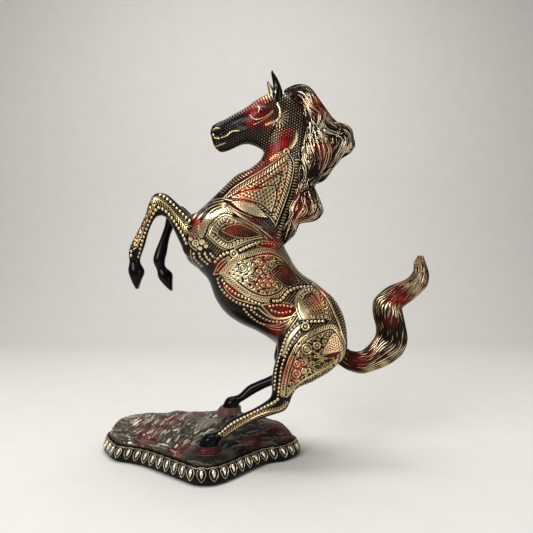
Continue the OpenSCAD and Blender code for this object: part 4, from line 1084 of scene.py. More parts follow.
def engrave_head(work):
    """The drawing of the head and the throat: punched rows, strokes on the nose, the eye, and the cut
    crescents."""
    u, v = work.u, work.v
    every = np.arange(len(u))
    punched_rows(work, eased((174 - v - 0.25 * (u - 270)) / 3))
    bridge = eased((122 - 0.42 * (u - 225) - v) / 3) * (u > 210) * (u < 284)
    stroke = np.abs(2 * ((0.9 * u - 0.45 * v) / 2.9 % 1) - 1)
    work.lay(every, bridge, 0.62 * soft((0.45 - stroke) * 1.45), 0.0, 0.2 - 0.35 * stroke, 0.5)
    work.gold *= 1 - 0.9 * blobs(u, v, [(240, 121, 6, 1.0), (217, 134, 3, 1.0), (247, 118, 5, 0.7)])
    work.gold *= 1 - 0.5 * blobs(u, v, [(258, 110, 8, 1.0), (284, 142, 6, 1.6), (278, 148, 5, 1.6)])
    work.stain([
        (254, 110, 9, 0.75), (262, 102, 9, 0.6), (251, 121, 6, 0.6), (267, 121, 7, 0.5), (284, 140, 7, 1.0),
        (275, 147, 6, 1.0), (290, 134, 5, 0.7)])
    work.leaf(
        [[(257, 109.5), (263, 109.3), (269, 111.5)], [(263, 116.5), (257, 117.3), (252.5, 114)]],
        [(0.4, "black")], "red")
    at = work.near(np.array([(260.5, 113.0)]), 4)
    r = np.hypot(u[at] - 260.5, v[at] - 113)
    work.lay(at, soft(2.9 - r), 0.0, 0.6, 0.9)
    work.lay(at, soft(1.5 - r), 0.0, 0.0, 1.1)
    work.line([(250, 115), (255, 119.5), (264, 117.5), (273, 111)], 0.9, 0.9, 0.0, 0.5)
    work.line([(258, 106), (259.5, 109), (258.5, 113)], 0.9, 0.9, 0.0, 0.4)
    work.line([(254, 124.5), (260, 122), (266, 118), (273, 112.5)], 0.8, 0.8, 0.3)
    work.line([(277.5, 103.5), (280, 109), (280, 116), (276, 121), (266, 125)], 1.6, 1.0, 0.0, 0.6)
    for turn in np.radians(np.linspace(-34, 118, 9)):
        c, s = math.cos(turn), math.sin(turn)
        work.line([(278.5 + 4 * c, 116.5 + 4 * s), (278.5 + 10.5 * c, 116.5 + 10.5 * s)], 0.85, 0.9)
    work.line([(239, 130.5), (232, 131.5), (227, 135.5), (222, 137.5)], 1.2, 1.0, 0.0, 0.45)
    work.line([(215, 146.5), (220, 145), (225, 143)], 1.1, 1.0, 0.0, 0.35)
    work.line([(213, 134), (215, 138), (220, 138.5)], 1.0)
    work.line([(213, 131), (216, 128.5), (220, 129)], 0.8)
    work.line([(210, 142), (217, 141.6), (224, 140)], 0.9, 0.0, 0.0, -0.7)
    work.leaf(
        [[(297.5, 139), (291, 149), (285, 152)], [(289, 147), (294, 139), (296.5, 129)]], [(0.3, "gold")],
        "gold")
    stroke_band(work, [(270, 160), (278, 155), (284, 152)], 4, 3.0, 1.6, 0.9, 0.6)
    work.ring(286.5, 151.5, 3.2)
    work.punches([(286.5, 151.5, 1.4)])


engraved_lacquer = lacquered_brass(
    "engraved_brass_lacquer", (BLACK, "#1c1512"), (DEEP_RED, RED), ("#7d5827", "#c09549", "#f7e5b8"),
    ground_shine=0.16, brass_shine=0.3, bump_mm=0.03, coat=0.1)


def near_surface(grid, other, other_normals):
    """Distance from a grid to another piece, worked out on every third row and column and filled in
    between: to the nearest of the other's thinned points, with close rivals weighed in, above their
    surface and beside it."""
    rows, columns = grid.shape[:2]
    i = np.unique(np.append(np.arange(0, rows, 3), rows - 1))
    j = np.unique(np.append(np.arange(0, columns, 3), columns - 1))
    points = grid[np.ix_(i, j)].reshape(-1, 3)
    q = other[::5, ::5].reshape(-1, 3).astype(np.float32)
    n = other_normals[::5, ::5].reshape(-1, 3).astype(np.float32)
    low, high = q.min(0) - 25, q.max(0) + 25
    far = np.full(len(points), 99.0)
    close = np.flatnonzero(((points > low) & (points < high)).all(1))
    for part in np.array_split(close, max(1, len(close) * len(q) // 12_000_000)):
        p = points[part].astype(np.float32)
        d2 = (p ** 2).sum(1)[:, None] + (q ** 2).sum(1) - 2 * p @ q.T
        w = np.exp(-(d2 - d2.min(1, keepdims=True)) / 7.0)
        w /= w.sum(1, keepdims=True)
        foot, way = w @ q, w @ n
        above = ((p - foot) * way).sum(1) / np.maximum(np.linalg.norm(way, axis=1), 1e-6)
        beside = np.sqrt(np.maximum(((p - foot) ** 2).sum(1) - above ** 2, 0))
        far[part] = np.hypot(above, np.maximum(beside - 2.5, 0))
    wide = np.stack([np.interp(np.arange(columns), j, line) for line in far.reshape(len(i), len(j))])
    return np.stack([np.interp(np.arange(rows), i, line) for line in wide.T], axis=1)


def filleted(grid, normals, other, other_normals, reach):
    """Moves a surface outwards where it nears another, by the square of what is left of the reach over
    four times the reach, so that the two run into each other in a round."""
    lift = np.clip(reach - near_surface(grid, other, other_normals), 0, None) ** 2 / (4 * reach)
    return grid + normals * lift[..., None]


def outward(grid, normals, rows):
    """Normals turned away from the middles of the rows."""
    middle = np.stack([(rows[:, 0] + rows[:, 2]) / 2, rows[:, 4], (rows[:, 1] + rows[:, 3]) / 2], axis=1)
    side = np.einsum("ijk,ijk->ij", grid - middle[:, None], normals)
    return normals * np.where(side.sum() < 0, -1.0, 1.0)


def mirrored(grid):
    """The same points on the other side of the median plane."""
    return grid * np.array([1.0, -1.0, 1.0])


# The legs' rows, which the torso's fillets need here: front x and z, back x and z, share of the width,
# share of the spread and share of the right leg's own step
hind_table = [
    (94, 134, 118, 130, 0.35, -2.2, 0), (82, 123.5, 125, 117, 0.75, -1, 0),
    (71, 109.5, 128, 100, 0.94, -0.3, 0), (65, 95.5, 127, 84, 1, 0, 0),
    (63.5, 82.5, 115, 69, 0.94, 0.15, 0), (60, 69, 98, 58, 0.76, 0.3, 0.1),
    (58.5, 57, 84, 52, 0.62, 0.4, 0.35), (58.5, 47.5, 78, 45, 0.5, 0.5, 0.7),
    (56.5, 42, 75, 37.5, 0.47, 0.6, 0.9), (50, 37, 70, 30.5, 0.44, 0.7, 1),
    (40, 31.5, 55, 25.5, 0.35, 0.8, 1), (28.5, 26.5, 41, 21, 0.32, 0.9, 1),
    (18.5, 21.5, 27, 14, 0.32, 1, 1), (10, 13.5, 16.5, 7.5, 0.38, 1, 1), (5, 11, 11.5, 4.5, 0.36, 1, 1),
    (-4, 8.5, 9.5, 2.5, 0.47, 1, 1), (-9, 0, 9, 0, 0.53, 1, 1)]
fore_table = [
    (36, 202, 26, 170, 0.5, 0.5, 0), (18, 210, 8, 168, 0.85, 0.72, 0), (2, 214, -8, 171, 1, 0.86, 0),
    (-13, 215, -22.5, 175.5, 1, 0.96, 0), (-19, 213.5, -27, 184.5, 0.86, 1, 0.25),
    (-25.5, 219, -32.5, 196, 0.71, 1, 0.5), (-32, 225.5, -38.5, 208, 0.64, 1, 0.75),
    (-41.5, 233, -45, 212.5, 0.61, 1, 1), (-51.5, 233, -49.5, 212, 0.61, 1, 1),
    (-57, 225, -52.5, 209.5, 0.5, 1, 1), (-61, 212.5, -56, 203, 0.39, 1, 1),
    (-68, 198, -59, 194.5, 0.36, 1, 1), (-74, 186.5, -61.5, 185, 0.39, 1, 1),
    (-76.5, 177.5, -64.5, 176.5, 0.46, 1, 1), (-76, 169, -66, 169, 0.36, 1, 1),
    (-77, 160, -62, 160, 0.5, 1, 1), (-73.5, 150, -65, 151, 0.46, 1, 1),
    (-69.5, 143, -67.5, 144, 0.36, 1, 1)]
HIP_SPREAD, STANCE, THIGH_HALF, FORE_SPREAD, SHOULDER_HALF = 30.0, 36.0, 17.0, 26.0, 14.0
HIP_FILLET, SHOULDER_FILLET, THINNEST_HALF = 14.0, 12.0, 0.5


def leg_rows(table, widths, ys):
    """A leg's or an ear's rows on the left side, moved onto the rock, with their half widths and
    spreads."""
    rows = np.array([row[:4] + (0, 0) for row in table], float)
    rows[:, 4], rows[:, 5] = -np.array(ys), widths
    return rows + [SOLE_X, SOLE_Z, SOLE_X, SOLE_Z, 0, 0]


hind_rows = leg_rows(hind_table, [THIGH_HALF * r[4] for r in hind_table],
                     [HIP_SPREAD + (STANCE - HIP_SPREAD) * r[5] for r in hind_table])
fore_rows = leg_rows(fore_table, [SHOULDER_HALF * r[4] for r in fore_table],
                     [FORE_SPREAD * r[5] for r in fore_table])
leg_angles = -np.radians(np.concatenate([
    np.linspace(0, 180, 150, endpoint=False), np.linspace(180, 360, 60, endpoint=False)]))


def same_steps(rows, at, angles):
    """Ovals about the rows at the row numbers, none thinner than the thinnest, and their outward
    normals."""
    fine = through(rows, at)
    fine[:, 5] = np.maximum(fine[:, 5], THINNEST_HALF)
    grid = loft(fine, angles)
    return grid, outward(grid, normals_of(grid, True), fine)


def leg_grid(rows, spacing, angles):
    """Ovals an even spacing apart along a leg or an ear, their normals and their row numbers."""
    at = even_rows(rows, 0, len(rows) - 1, spacing)
    return (*same_steps(rows, at, angles), at)


hind_grid, hind_normals, hind_at = leg_grid(hind_rows, 0.56, leg_angles)
fore_grid, fore_normals, fore_at = leg_grid(fore_rows, 0.55, leg_angles[::2])

half_angles = -np.radians(np.linspace(0, 180, 236))
torso_at = even_rows(body_table, 0, NECK_SEAM, SPACING)
torso_rows = through(body_table, torso_at)
torso_plain = loft(torso_rows, half_angles)
torso_plain_normals = outward(torso_plain, normals_of(torso_plain), torso_rows)
torso_grid = filleted(torso_plain, torso_plain_normals, hind_grid, hind_normals, HIP_FILLET)
torso_grid = filleted(torso_grid, torso_plain_normals, fore_grid, fore_normals, SHOULDER_FILLET)
torso_normals = outward(torso_grid, normals_of(torso_grid), torso_rows)
work = Engraving(torso_grid, torso_normals)
engrave_side(work)
torso_grid = work.raised(torso_grid, torso_normals)
torso_grid[:, [0, -1], 1] = 0
torso_values = work.values()
torso_left = piece_from("torso_left_half", [torso_grid], engraved_lacquer, torso_values, CREASE)
torso_right = piece_from("torso_right_half", [mirrored(torso_grid)], engraved_lacquer, torso_values, CREASE)
for half, node in ((torso_left, "torso_left_shell"), (torso_right, "torso_right_shell")):
    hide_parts(node)

neck_angles = -np.radians(np.linspace(0, 180, 170))
neck_at = even_rows(body_table, NECK_SEAM, POLL_SEAM, SPACING)
neck_rows = through(body_table, neck_at)
neck_grid = loft(neck_rows, neck_angles)
neck_normals = outward(neck_grid, normals_of(neck_grid), neck_rows)
work = Engraving(neck_grid, neck_normals)
engrave_head(work)
engrave_side(work)
neck_grid = work.raised(neck_grid, neck_normals)
neck_grid[:, [0, -1], 1] = 0
neck_values = work.values()
neck_left = piece_from("neck_left_half", [neck_grid], engraved_lacquer, neck_values, CREASE)
neck_right = piece_from("neck_right_half", [mirrored(neck_grid)], engraved_lacquer, neck_values, CREASE)
for half, node in ((neck_left, "neck_left_shell"), (neck_right, "neck_right_shell")):
    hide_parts(node)

# Head: one hollow casting, brazed to the neck. It is lacquered black and punched all over with
# fine rows of dots; the eye, the lids and the crest behind the cheek are cut bright, and red is
# rubbed round the eye and along the jaw.

head_angles = -np.radians(np.linspace(0, 360, 250, endpoint=False))
head_at = even_rows(body_table, POLL_SEAM, len(body_table) - 1, 0.45)
head_rows = through(body_table, head_at)
head_grid = loft(head_rows, head_angles)
head_normals = outward(head_grid, normals_of(head_grid, True), head_rows)
work = Engraving(head_grid, head_normals)
# Each form's height, its place in the drawing and its half width and half height
head_forms = {
    "cheek": (1.6, 274, 128, 14, 13), "eye": (1.5, 260, 112, 6.5, 4.5),
    "brow_hollow": (-0.9, 262, 104, 11, 3.0),
    "nose_hollow": (-1.0, 240, 126, 9, 4), "nostril_rim": (1.2, 217, 131, 5, 5),
    "nostril": (-2.2, 217.5, 133.5, 2.6, 1.7), "lip": (0.5, 222, 140, 6, 3)}
form = sum(high * np.exp(-(((work.u - u) / wide) ** 2 + ((work.v - v) / tall) ** 2))
           for high, u, v, wide, tall in head_forms.values())
side_on = np.clip(np.abs(head_normals.reshape(-1, 3)[:, 1]) * 1.6, 0, 1)
head_grid = head_grid + head_normals * (form * side_on).reshape(head_grid.shape[:2] + (1,))
engrave_head(work)
head_grid = work.raised(head_grid, head_normals)
head = piece_from("head", [head_grid], engraved_lacquer, work.values(), CREASE)
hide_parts("head_casting")

# Ears: two small castings brazed on the poll, hollowed like a leaf towards the front and the side.
# They are lacquered black; the near one has a cut edge, and the far one carries a painted highlight inside
# its hollow, laid as pale bare brass.

ear_table = [
    (57, 326, 69, 327, 5, 7.5), (59, 333, 69.5, 335, 4.8, 8.5), (60, 340, 67.5, 342, 4.4, 9.75),
    (59.2, 347, 64, 349, 3.4, 11.1), (58, 353, 60.5, 354, 1.8, 12.25), (58.5, 356, 59.3, 356.2, 0.6, 12.5)]
RIGHT_EAR_FORWARD = 4.0
ear_rows = leg_rows(ear_table, [r[4] for r in ear_table], [r[5] for r in ear_table])
ear_angles = -np.radians(np.linspace(0, 360, 64, endpoint=False))
ear_grid, ear_normals, ear_at = leg_grid(ear_rows, 0.45, ear_angles)
ear_turn, up_ear = np.degrees(-ear_angles)[None], ear_at[:, None]
hollow = np.exp(-((ear_turn - 52) / 34) ** 2) * eased((up_ear - 1.2) / 1.2) * eased((5 - up_ear) / 1.5)
ear_grid = ear_grid - ear_normals * (2.6 * hollow)[..., None]
edge_turn = np.exp(-((ear_turn - 86 + 18 * up_ear) / 9) ** 2)
edge = edge_turn * eased((up_ear - 0.8) / 0.4) * eased((3.1 - up_ear) / 0.6)
# Painted highlight: pale bare brass inside the far ear's hollow, standing in for a reflection on the glossy
# lacquer.
ear_painted_highlight = np.exp(-((ear_turn - 292) / 34) ** 2) * eased((up_ear - 1.4) / 0.5) * eased((4.3 - up_ear) / 0.6)
ear_values = {"gold": [0.8 * edge], "red": [0 * edge], "tone": [0.3 * edge]}
ear_painted_highlight_values = {"gold": [0.8 * ear_painted_highlight], "red": [0 * edge], "tone": [0.9 * ear_painted_highlight]}
left_ear = piece_from("left_ear_leaf", [ear_grid], engraved_lacquer, ear_values)
forward = (RIGHT_EAR_FORWARD * eased(ear_at / 2.5))[:, None, None]
right_grid = mirrored(ear_grid) - np.array([1.0, 0, 0]) * forward
right_ear = piece_from("right_ear_leaf", [right_grid], engraved_lacquer, ear_painted_highlight_values)
for ear, node in ((left_ear, "left_ear"), (right_ear, "right_ear")):
    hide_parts(node)

# Mane: three castings brazed along the crest. Their locks are modelled in the wax, then the strands
# are chased one by one, so the ridges shine as brass and the grooves hold dark and red lacquer.

mane_table = [
    (70, 337, 71, 342, 7.2), (80, 334, 80, 345.5, 12.1), (88, 332, 89, 347.5, 14), (92, 326, 99, 342, 16),
    (95, 318, 109, 330, 16.9), (96, 309, 118, 317, 16.9), (95, 301, 124, 308.5, 17.5),
    (93, 294, 137, 303.5, 18), (91, 286, 141, 292, 18), (89, 279, 140, 283, 18), (87, 272, 130, 275, 17.5),
    (87, 264, 121, 265, 16.6), (86, 256, 113, 254, 15.5), (85.5, 248, 102, 247, 13.5),
    (84.5, 240, 103, 240, 14), (81, 231, 107, 231, 15.5), (78, 222, 111, 221, 15.5),
    (75.5, 215, 105, 213.5, 14.4), (72, 207, 88, 209.5, 12.1), (69, 199, 83, 200, 11),
    (68, 192, 79, 192.5, 9), (68, 186, 72, 187, 5)]
MANE_ROOT, HAIR_CREASE = 8.0, 80
mane_rows = sections(mane_table)
root_way = mane_rows[:, [0, 1]] - mane_rows[:, [2, 3]]
mane_rows[:, [0, 1]] += root_way / np.linalg.norm(root_way, axis=1, keepdims=True) * MANE_ROOT
chased_hair = lacquered_brass(
    "chased_hair_brass", ("#0c0706", "#2c180c"), ("#4a0f0c", "#8c2018"), ("#76562a", "#b58d4c", "#faeccb"),
    ground_shine=0.36, brass_shine=0.25, bump_mm=0.03, coat=0.04)


def hair(grid, normals, at, angles, locks, strands, depth, wander, seed):
    """Locks side by side round the section, each a rounded ridge that wanders as it runs, and fine
    strands on each. Gives the points, how high each lies on its strand and lock, and the strand's own
    lot."""
    draw = np.random.default_rng(seed)
    s, q = at[:, None], (-angles / (2 * np.pi))[None]
    shift = sum(a * np.sin(f * s + p + 2 * np.pi * k * q) for a, f, p, k in
                zip(wander * np.array([1, 0.6, 0.35]), (0.5, 0.9, 1.6), draw.uniform(0, 6, 3), (1, 2, 3)))
    lock = q * locks + shift
    inner = np.abs(np.sin(np.pi * lock))
    number = np.floor(lock)
    swell = 0.6 * np.sin(0.8 * s + 2.4 * number) + 0.4 * np.sin(1.5 * s + 1.3 * number)
    thread = lock * strands + 0.3 * np.sin(1.3 * s + number) + 0.2 * np.sin(2.6 * s + 0.7 * number)
    ridge = np.abs(np.sin(np.pi * thread))
    height = depth * (inner ** 0.6 - 0.75) + 0.3 * depth * swell + 0.55 * (ridge ** 0.8 - 0.6)
    lot = drawn_lot(np.floor(thread), number)
    lot = np.clip(lot + 0.35 * np.sin(2 * np.pi * (0.7 * s + 9 * lot)), 0, 1)
    return grid + normals * height[..., None], ridge, inner, lot


def drawn(points):
    """Where places lie in the drawing of the side."""
    near = (EYE - np.abs(points[..., 1])) / EYE
    return DRAW_X + (points[..., 0] - EYE_X) / near, DRAW_Y - (points[..., 2] - EYE_Z) / near


def hair_values(grid, ridge, inner, lot, red_places, dark_places, painted_highlight_places, brown_places=()):
    """Bare brass on the strands' ridges, wider and paler in the places of painted highlight, wider and dull
    in the brown ones and hardly any in the dark ones."""
    u, v = drawn(grid)
    red, painted_highlight = blobs(u, v, red_places), blobs(u, v, painted_highlight_places)
    reach = 0.2 + 0.36 * painted_highlight + 0.4 * blobs(u, v, brown_places) - 0.12 * blobs(u, v, dark_places)
    reach = reach - 0.06 * red + 0.3 * (lot - 0.5)
    gold = eased((ridge - (1 - np.minimum(reach, 0.56))) / 0.3) * eased(inner / 0.2)
    tone = np.clip(painted_highlight * (0.4 + 0.6 * lot), 0, 1)
    return {"gold": [gold], "red": [red * (1 - 0.5 * painted_highlight)], "tone": [tone]}


# Locks laid over each casting: the line each follows in the drawing, and its half width
upper_lines = [
    ([(284, 93), (292, 89.5), (300.5, 88), (307, 90), (313, 96), (319, 104), (326, 113), (331, 120)], 2.0),
    ([(286, 95), (294, 92), (302, 92.5), (308, 98), (313, 106), (319, 114), (325, 122)], 3.4),
    ([(288, 96), (297, 95.5), (302, 99), (306, 107), (308, 116), (312, 124), (316, 132)], 3.4),
    ([(311, 96), (318, 105), (321, 114), (320, 122), (317, 131)], 3.0),
    ([(299, 97), (305, 105), (308, 114), (309.5, 124), (308, 136)], 1.8),
    ([(296, 92), (305, 94.5), (312, 101), (318, 110), (323, 118), (327, 127)], 3.2)]
middle_lines = [
    ([(324, 116), (333, 122), (342, 125), (349, 129.5), (352, 137), (350, 147), (344, 154)], 2.0),
    ([(320, 119), (331, 127), (340, 130), (346, 133.5), (347.5, 139), (345, 146), (340, 153), (333, 163)],
     3.0),
    ([(317, 123), (326, 131), (334, 134.5), (340, 137), (341.5, 141), (339, 147), (334, 155), (328, 166)],
     2.8),
    ([(313, 125), (318, 139), (321, 150), (322, 160), (319, 170), (315, 180)], 3.0),
    ([(309, 124), (311, 136), (315, 146), (317, 156), (315, 167), (311, 177)], 3.0),
    ([(310, 124), (308, 138), (308.5, 148.5), (310, 156), (307, 165)], 2.6),
    ([(318, 131), (324, 141), (328, 151), (327, 162), (322, 173), (316, 182)], 3.0),
    ([(346, 152), (338, 161), (331, 169), (323, 178), (315, 185)], 3.0),
    ([(303, 144), (303.5, 156), (306, 167), (305, 177), (300, 187)], 2.8),
    ([(352.5, 137), (353, 147), (348, 157), (340, 166)], 2.5),
    ([(338, 141), (337.5, 136), (340, 132.5), (344, 132.5), (346.5, 136), (345.5, 140)], 1.2),
    ([(335, 144), (334, 137), (337, 130.5), (343, 128.5), (348.5, 131), (350.5, 137)], 1.5)]
lower_lines = [
    ([(310, 176), (307, 186), (302, 193), (299, 201)], 3.0),
    ([(312, 183), (316, 194), (320, 203), (322, 211), (317, 218)], 3.0),
    ([(309, 184), (313, 197), (316, 207), (313, 215), (306, 220)], 3.0),
    ([(305, 188), (307, 200), (308, 210), (302, 217), (294, 223)], 3.0),
    ([(302, 193), (301, 207), (296.5, 217), (291, 226), (287, 236)], 2.8),
    ([(321, 210), (315, 218), (306, 221.5), (298, 225), (293, 231)], 2.8),
    ([(300, 221), (296, 227), (296.5, 233), (293, 238)], 2.2),
    ([(296, 222), (290, 231), (286, 240), (283, 247)], 2.4),
    ([(299, 188), (297, 200), (293, 211), (289, 222), (285, 233)], 2.4)]
STRAND_STEPS, STRANDS = 26, 17


def face_at(u, v, faces):
    """Depth and outward way of the foremost of several grids at places in the drawing, from their nearby
    points."""
    depth, way = np.zeros(len(u)), np.zeros((len(u), 3))
    for grid, normals in faces:
        left = grid[..., 1] <= 0
        fu, fv = drawn(grid[left])
        d2 = (u[:, None] - fu) ** 2 + (v[:, None] - fv) ** 2
        w = np.exp(-(d2 - d2.min(1, keepdims=True)) / 5.0)
        w /= w.sum(1, keepdims=True)
        y, n = w @ grid[left][:, 1], w @ normals[left]
        ahead = (y < depth) & (d2.min(1) < 9)
        depth, way = np.where(ahead, y, depth), np.where(ahead[:, None], n, way)
    way[:, 1] -= 0.2
    return depth, way / np.linalg.norm(way, axis=1, keepdims=True)


def kept_on(path, faces):
    """The same line in the drawing, with places that lie off the faces drawn back to a short way from
    them."""
    spots = np.concatenate([np.stack(drawn(grid[grid[..., 1] <= 0]), axis=1) for grid, _ in faces])
    d2 = ((path[:, None] - spots) ** 2).sum(2)
    away = spots[d2.argmin(1)] - path
    far = np.maximum(np.sqrt(d2.min(1)), 1e-6)
    return path + away * np.clip(1 - 0.8 / far, 0, 1)[:, None]


def strand_grid(points, offset, half, sway, faces, draw):
    """One strand along a line of the drawing, moved sideways by the offset and by its lock's sway, lying
    on the foremost face there. Its section is an oval, full over most of the length and drawn to a point
    at both ends."""
    path = even(curve(points), 4 * STRAND_STEPS)
    first, last = draw.uniform(0, 0.25), draw.uniform(0.72, 1.0)
    pick = np.linspace(first, last, STRAND_STEPS) * (len(path) - 1)
    path = through(path, pick)
    along = np.gradient(path, axis=0)
    along /= np.linalg.norm(along, axis=1, keepdims=True)
    t = np.linspace(0, 1, STRAND_STEPS)
    turns, begin = sway
    aside = offset * (1 - 0.35 * t) + 0.9 * np.sin(2 * np.pi * (turns * pick / (4 * STRAND_STEPS) + begin))
    aside += 0.35 * np.sin(2 * np.pi * (draw.uniform(0.7, 2.0) * t + draw.uniform()))
    path = kept_on(path + np.stack([-along[:, 1], along[:, 0]], axis=1) * aside[:, None], faces)
    y, n = face_at(path[:, 0], path[:, 1], faces)
    near = (EYE - np.abs(y)) / EYE
    line = np.stack([EYE_X + (path[:, 0] - DRAW_X) * near, y, EYE_Z - (path[:, 1] - DRAW_Y) * near], axis=1)
    way = np.gradient(line, axis=0)
    way /= np.linalg.norm(way, axis=1, keepdims=True)
    n = n - (n * way).sum(1, keepdims=True) * way
    n /= np.linalg.norm(n, axis=1, keepdims=True)
    side = np.cross(way, n)
    full = np.sqrt(np.clip(np.sin(np.pi * (0.06 + 0.9 * t)), 0, 1)) * (1 - 0.5 * t ** 3)
    phi = np.pi * np.array([0, 0.25, 0.5, 0.75, 1, 1.5])
    lift = draw.uniform(0.1, 1.0)
    grid = (line[:, None] + side[:, None] * (half * full[:, None] * np.cos(phi))[..., None]
            + n[:, None] * (1.25 * half * full[:, None] * np.sin(phi) + lift * full[:, None])[..., None])
    return grid, np.broadcast_to(np.clip(np.sin(phi), 0, 1), grid.shape[:2])


def strand_values(grid, crown, lot, red_lot, red_places, dark_places, painted_highlight_places):
    """Bare brass along a strand's crown if its lot is high enough for the place, and lacquer down its
    sides. Places of painted highlight make the bare brass likelier and paler."""
    u, v = drawn(grid)
    painted_highlight = blobs(u, v, painted_highlight_places)
    chance = 0.46 + 0.35 * painted_highlight - 0.42 * blobs(u, v, dark_places)
    bare = eased((chance - lot) / 0.18) * eased((crown - 0.35) / 0.35)
    red = blobs(u, v, red_places) * (0.35 + 0.65 * (red_lot < 0.6))
    return {"gold": bare, "red": red, "tone": np.clip(0.9 - 1.6 * lot + 0.4 * painted_highlight, 0, 1) * crown}


mane_angles = -np.radians(np.linspace(0, 360, 160, endpoint=False))
mane_red = [
    (316, 103, 10, 0.7), (309, 102, 7, 0.6), (321, 112, 8, 0.7), (322, 150, 9, 0.95), (325, 158, 8, 0.85),
    (302, 203, 10, 0.9), (300, 215, 9, 0.7)]
mane_dark = [
    (294, 90, 9, 1.0), (303, 89, 6, 0.8), (343, 136, 4, 1.0), (316, 178, 8, 0.7), (300, 194, 7, 0.8),
    (309, 118, 6, 1.0), (300, 97, 6, 0.6), (293, 236, 6, 0.6), (322, 106, 6, 0.7)]
# Painted highlights on the mane: places where the strands are given more and paler bare brass.
mane_painted_highlights = [
    (308, 100, 6, 0.3), (310, 151, 9, 0.9), (329, 117, 5, 1.0), (305, 187, 6, 0.7), (349, 150, 9, 0.9),
    (296, 226, 7, 0.6), (320, 134, 9, 0.5), (311, 91, 4, 0.5)]
MANE_CORE = 1.6
UPPER_END, MIDDLE_END, MANE_END = 6, 13, len(mane_table) - 1
mane_parts = (
    ("mane_top_locks", "mane_upper", 0, UPPER_END, upper_lines),
    ("mane_flying_locks", "mane_middle", UPPER_END, MIDDLE_END, middle_lines),
    ("mane_wither_locks", "mane_lower", MIDDLE_END, MANE_END, lower_lines))
whole_at = np.linspace(0, MANE_END, 240)
whole_rows = through(mane_rows, whole_at)
whole_mane = loft(whole_rows, mane_angles[::3])
whole_normals = outward(whole_mane, normals_of(whole_mane, True), whole_rows)
faces = [(whole_mane - whole_normals * MANE_CORE, whole_normals),
    (neck_grid[::4, ::4], neck_normals[::4, ::4])]
draw = np.random.default_rng(11)
for name, node, first, last, lines in mane_parts:
    at = even_rows(mane_rows, first, last, 0.7)
    fine = through(mane_rows, at)
    grid = loft(fine, mane_angles)
    normals = outward(grid, normals_of(grid, True), fine)
    core, ridge, inner, lot = hair(
        grid - normals * MANE_CORE, normals, at, mane_angles,
        locks=10, strands=5, depth=1.2, wander=0.3, seed=3)
    core_values = hair_values(core, ridge, inner, lot, mane_red, mane_dark, mane_painted_highlights)
    shells, values = [core], [{key: core_values[key][0] for key in core_values}]
    for points, half in lines:
        sway = draw.uniform(0.7, 2.2), draw.uniform()
        for offset in np.linspace(-1.35, 1.35, STRANDS) * half:
            shell, crown = strand_grid(
                points, offset + draw.normal(0, 0.3), draw.uniform(0.4, 0.7), sway, faces, draw)
            marks = strand_values(
                shell, crown, draw.uniform(), draw.uniform(), mane_red, mane_dark, mane_painted_highlights)
            shells += [shell, mirrored(shell)]
            values += [marks, marks]
    mane_values = {key: [v[key] for v in values] for key in ("gold", "red", "tone")}
    mane = piece_from(name, shells, chased_hair, mane_values, HAIR_CREASE)
    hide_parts(node)

# Forelegs: two castings pegged and brazed to the shoulders. The outside of each carries a leaf spine
# between bead rows; the inside and the hooves are plain glossy black.

RIGHT_FOLD, RIGHT_HOOF_FOLD, RIGHT_BACK, RIGHT_DROP = 6.0, 14.0, 6.0, 3.0
KNEE, FETLOCK = 8, 13
FORE_SIDE_END, FORE_HOOF = 4.6, 13.7


def spine(work, points, width, pitch):
    """A bright midrib with slanting leaf strokes on both sides of it."""
    stroke_band(work, points, width, pitch, 1.3, 1.0, 0.0, 0.34, 0.2)
    work.line(points, 0.9, 1.0, 0.0, 0.35)


def run_into_torso(grid, normals, rows, at, reach):
    """A leg's points with a fillet of the given reach where it meets the torso, and their normals."""
    grid = filleted(grid, normals, torso_plain, torso_plain_normals, reach)
    return grid, outward(grid, normals_of(grid, True), through(rows, at))


def outside_only(at, angles, hoof, fade):
    """One on a leg's outer side above the hoof's row, and nothing on its inner side and on the hoof."""
    outer = eased((np.sin(-angles)[None] + 0.12) / 0.3)
    return (outer * eased((hoof - at[:, None]) / fade)).ravel()


fore_grid, fore_normals = run_into_torso(fore_grid, fore_normals, fore_rows, fore_at, SHOULDER_FILLET)
work = Engraving(fore_grid, fore_normals)
engrave_side(work)
work.keep(np.repeat(eased((FORE_SIDE_END - fore_at) / 0.5), fore_grid.shape[1]))
work.leaf(
    [[(155, 206), (150.5, 217), (144, 232), (137, 248)],
     [(129, 250), (133, 232), (142, 212), (149, 198), (159, 197)]], [(0.6, "gold")], "scroll")
work.stain([(143, 226, 6, 0.2), (138, 240, 5, 0.15)])
# Painted highlight at the knee, and painted shade lower down the leg.
work.paint_highlights_and_shade([(152, 201, 6, 1.0)], [(142, 228, 12, 0.5), (150, 240, 20, 0.6)])
spine(work, [(189, 233), (181, 221), (172, 210), (163, 202), (156, 198)], 12, 3.4)
work.beads(
    [(187, 245), (180, 231), (172, 219), (165, 211), (158, 208), (152, 217), (147, 229), (142.5, 242),
     (139, 255), (137, 263)], 4.2, 1.6, 2.4)
work.beads([(191, 222), (182, 213), (173, 204), (165, 197), (158, 194)], 4.2, 1.45, 2.3)
work.beads([(131, 249), (130.5, 256), (130.5, 262)], 4.5, 1.5, 2.2)
stroke_band(work, [(129, 264), (134, 264), (140, 263)], 4, 2.2, 0.0)
work.keep(outside_only(fore_at, leg_angles[::2], FORE_HOOF, 0.3))
fore_values = work.values()
left_fore_grid = work.raised(fore_grid, fore_normals)
left_fore = piece_from("left_foreleg_limb", [left_fore_grid], engraved_lacquer, fore_values, CREASE)
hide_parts("left_foreleg")


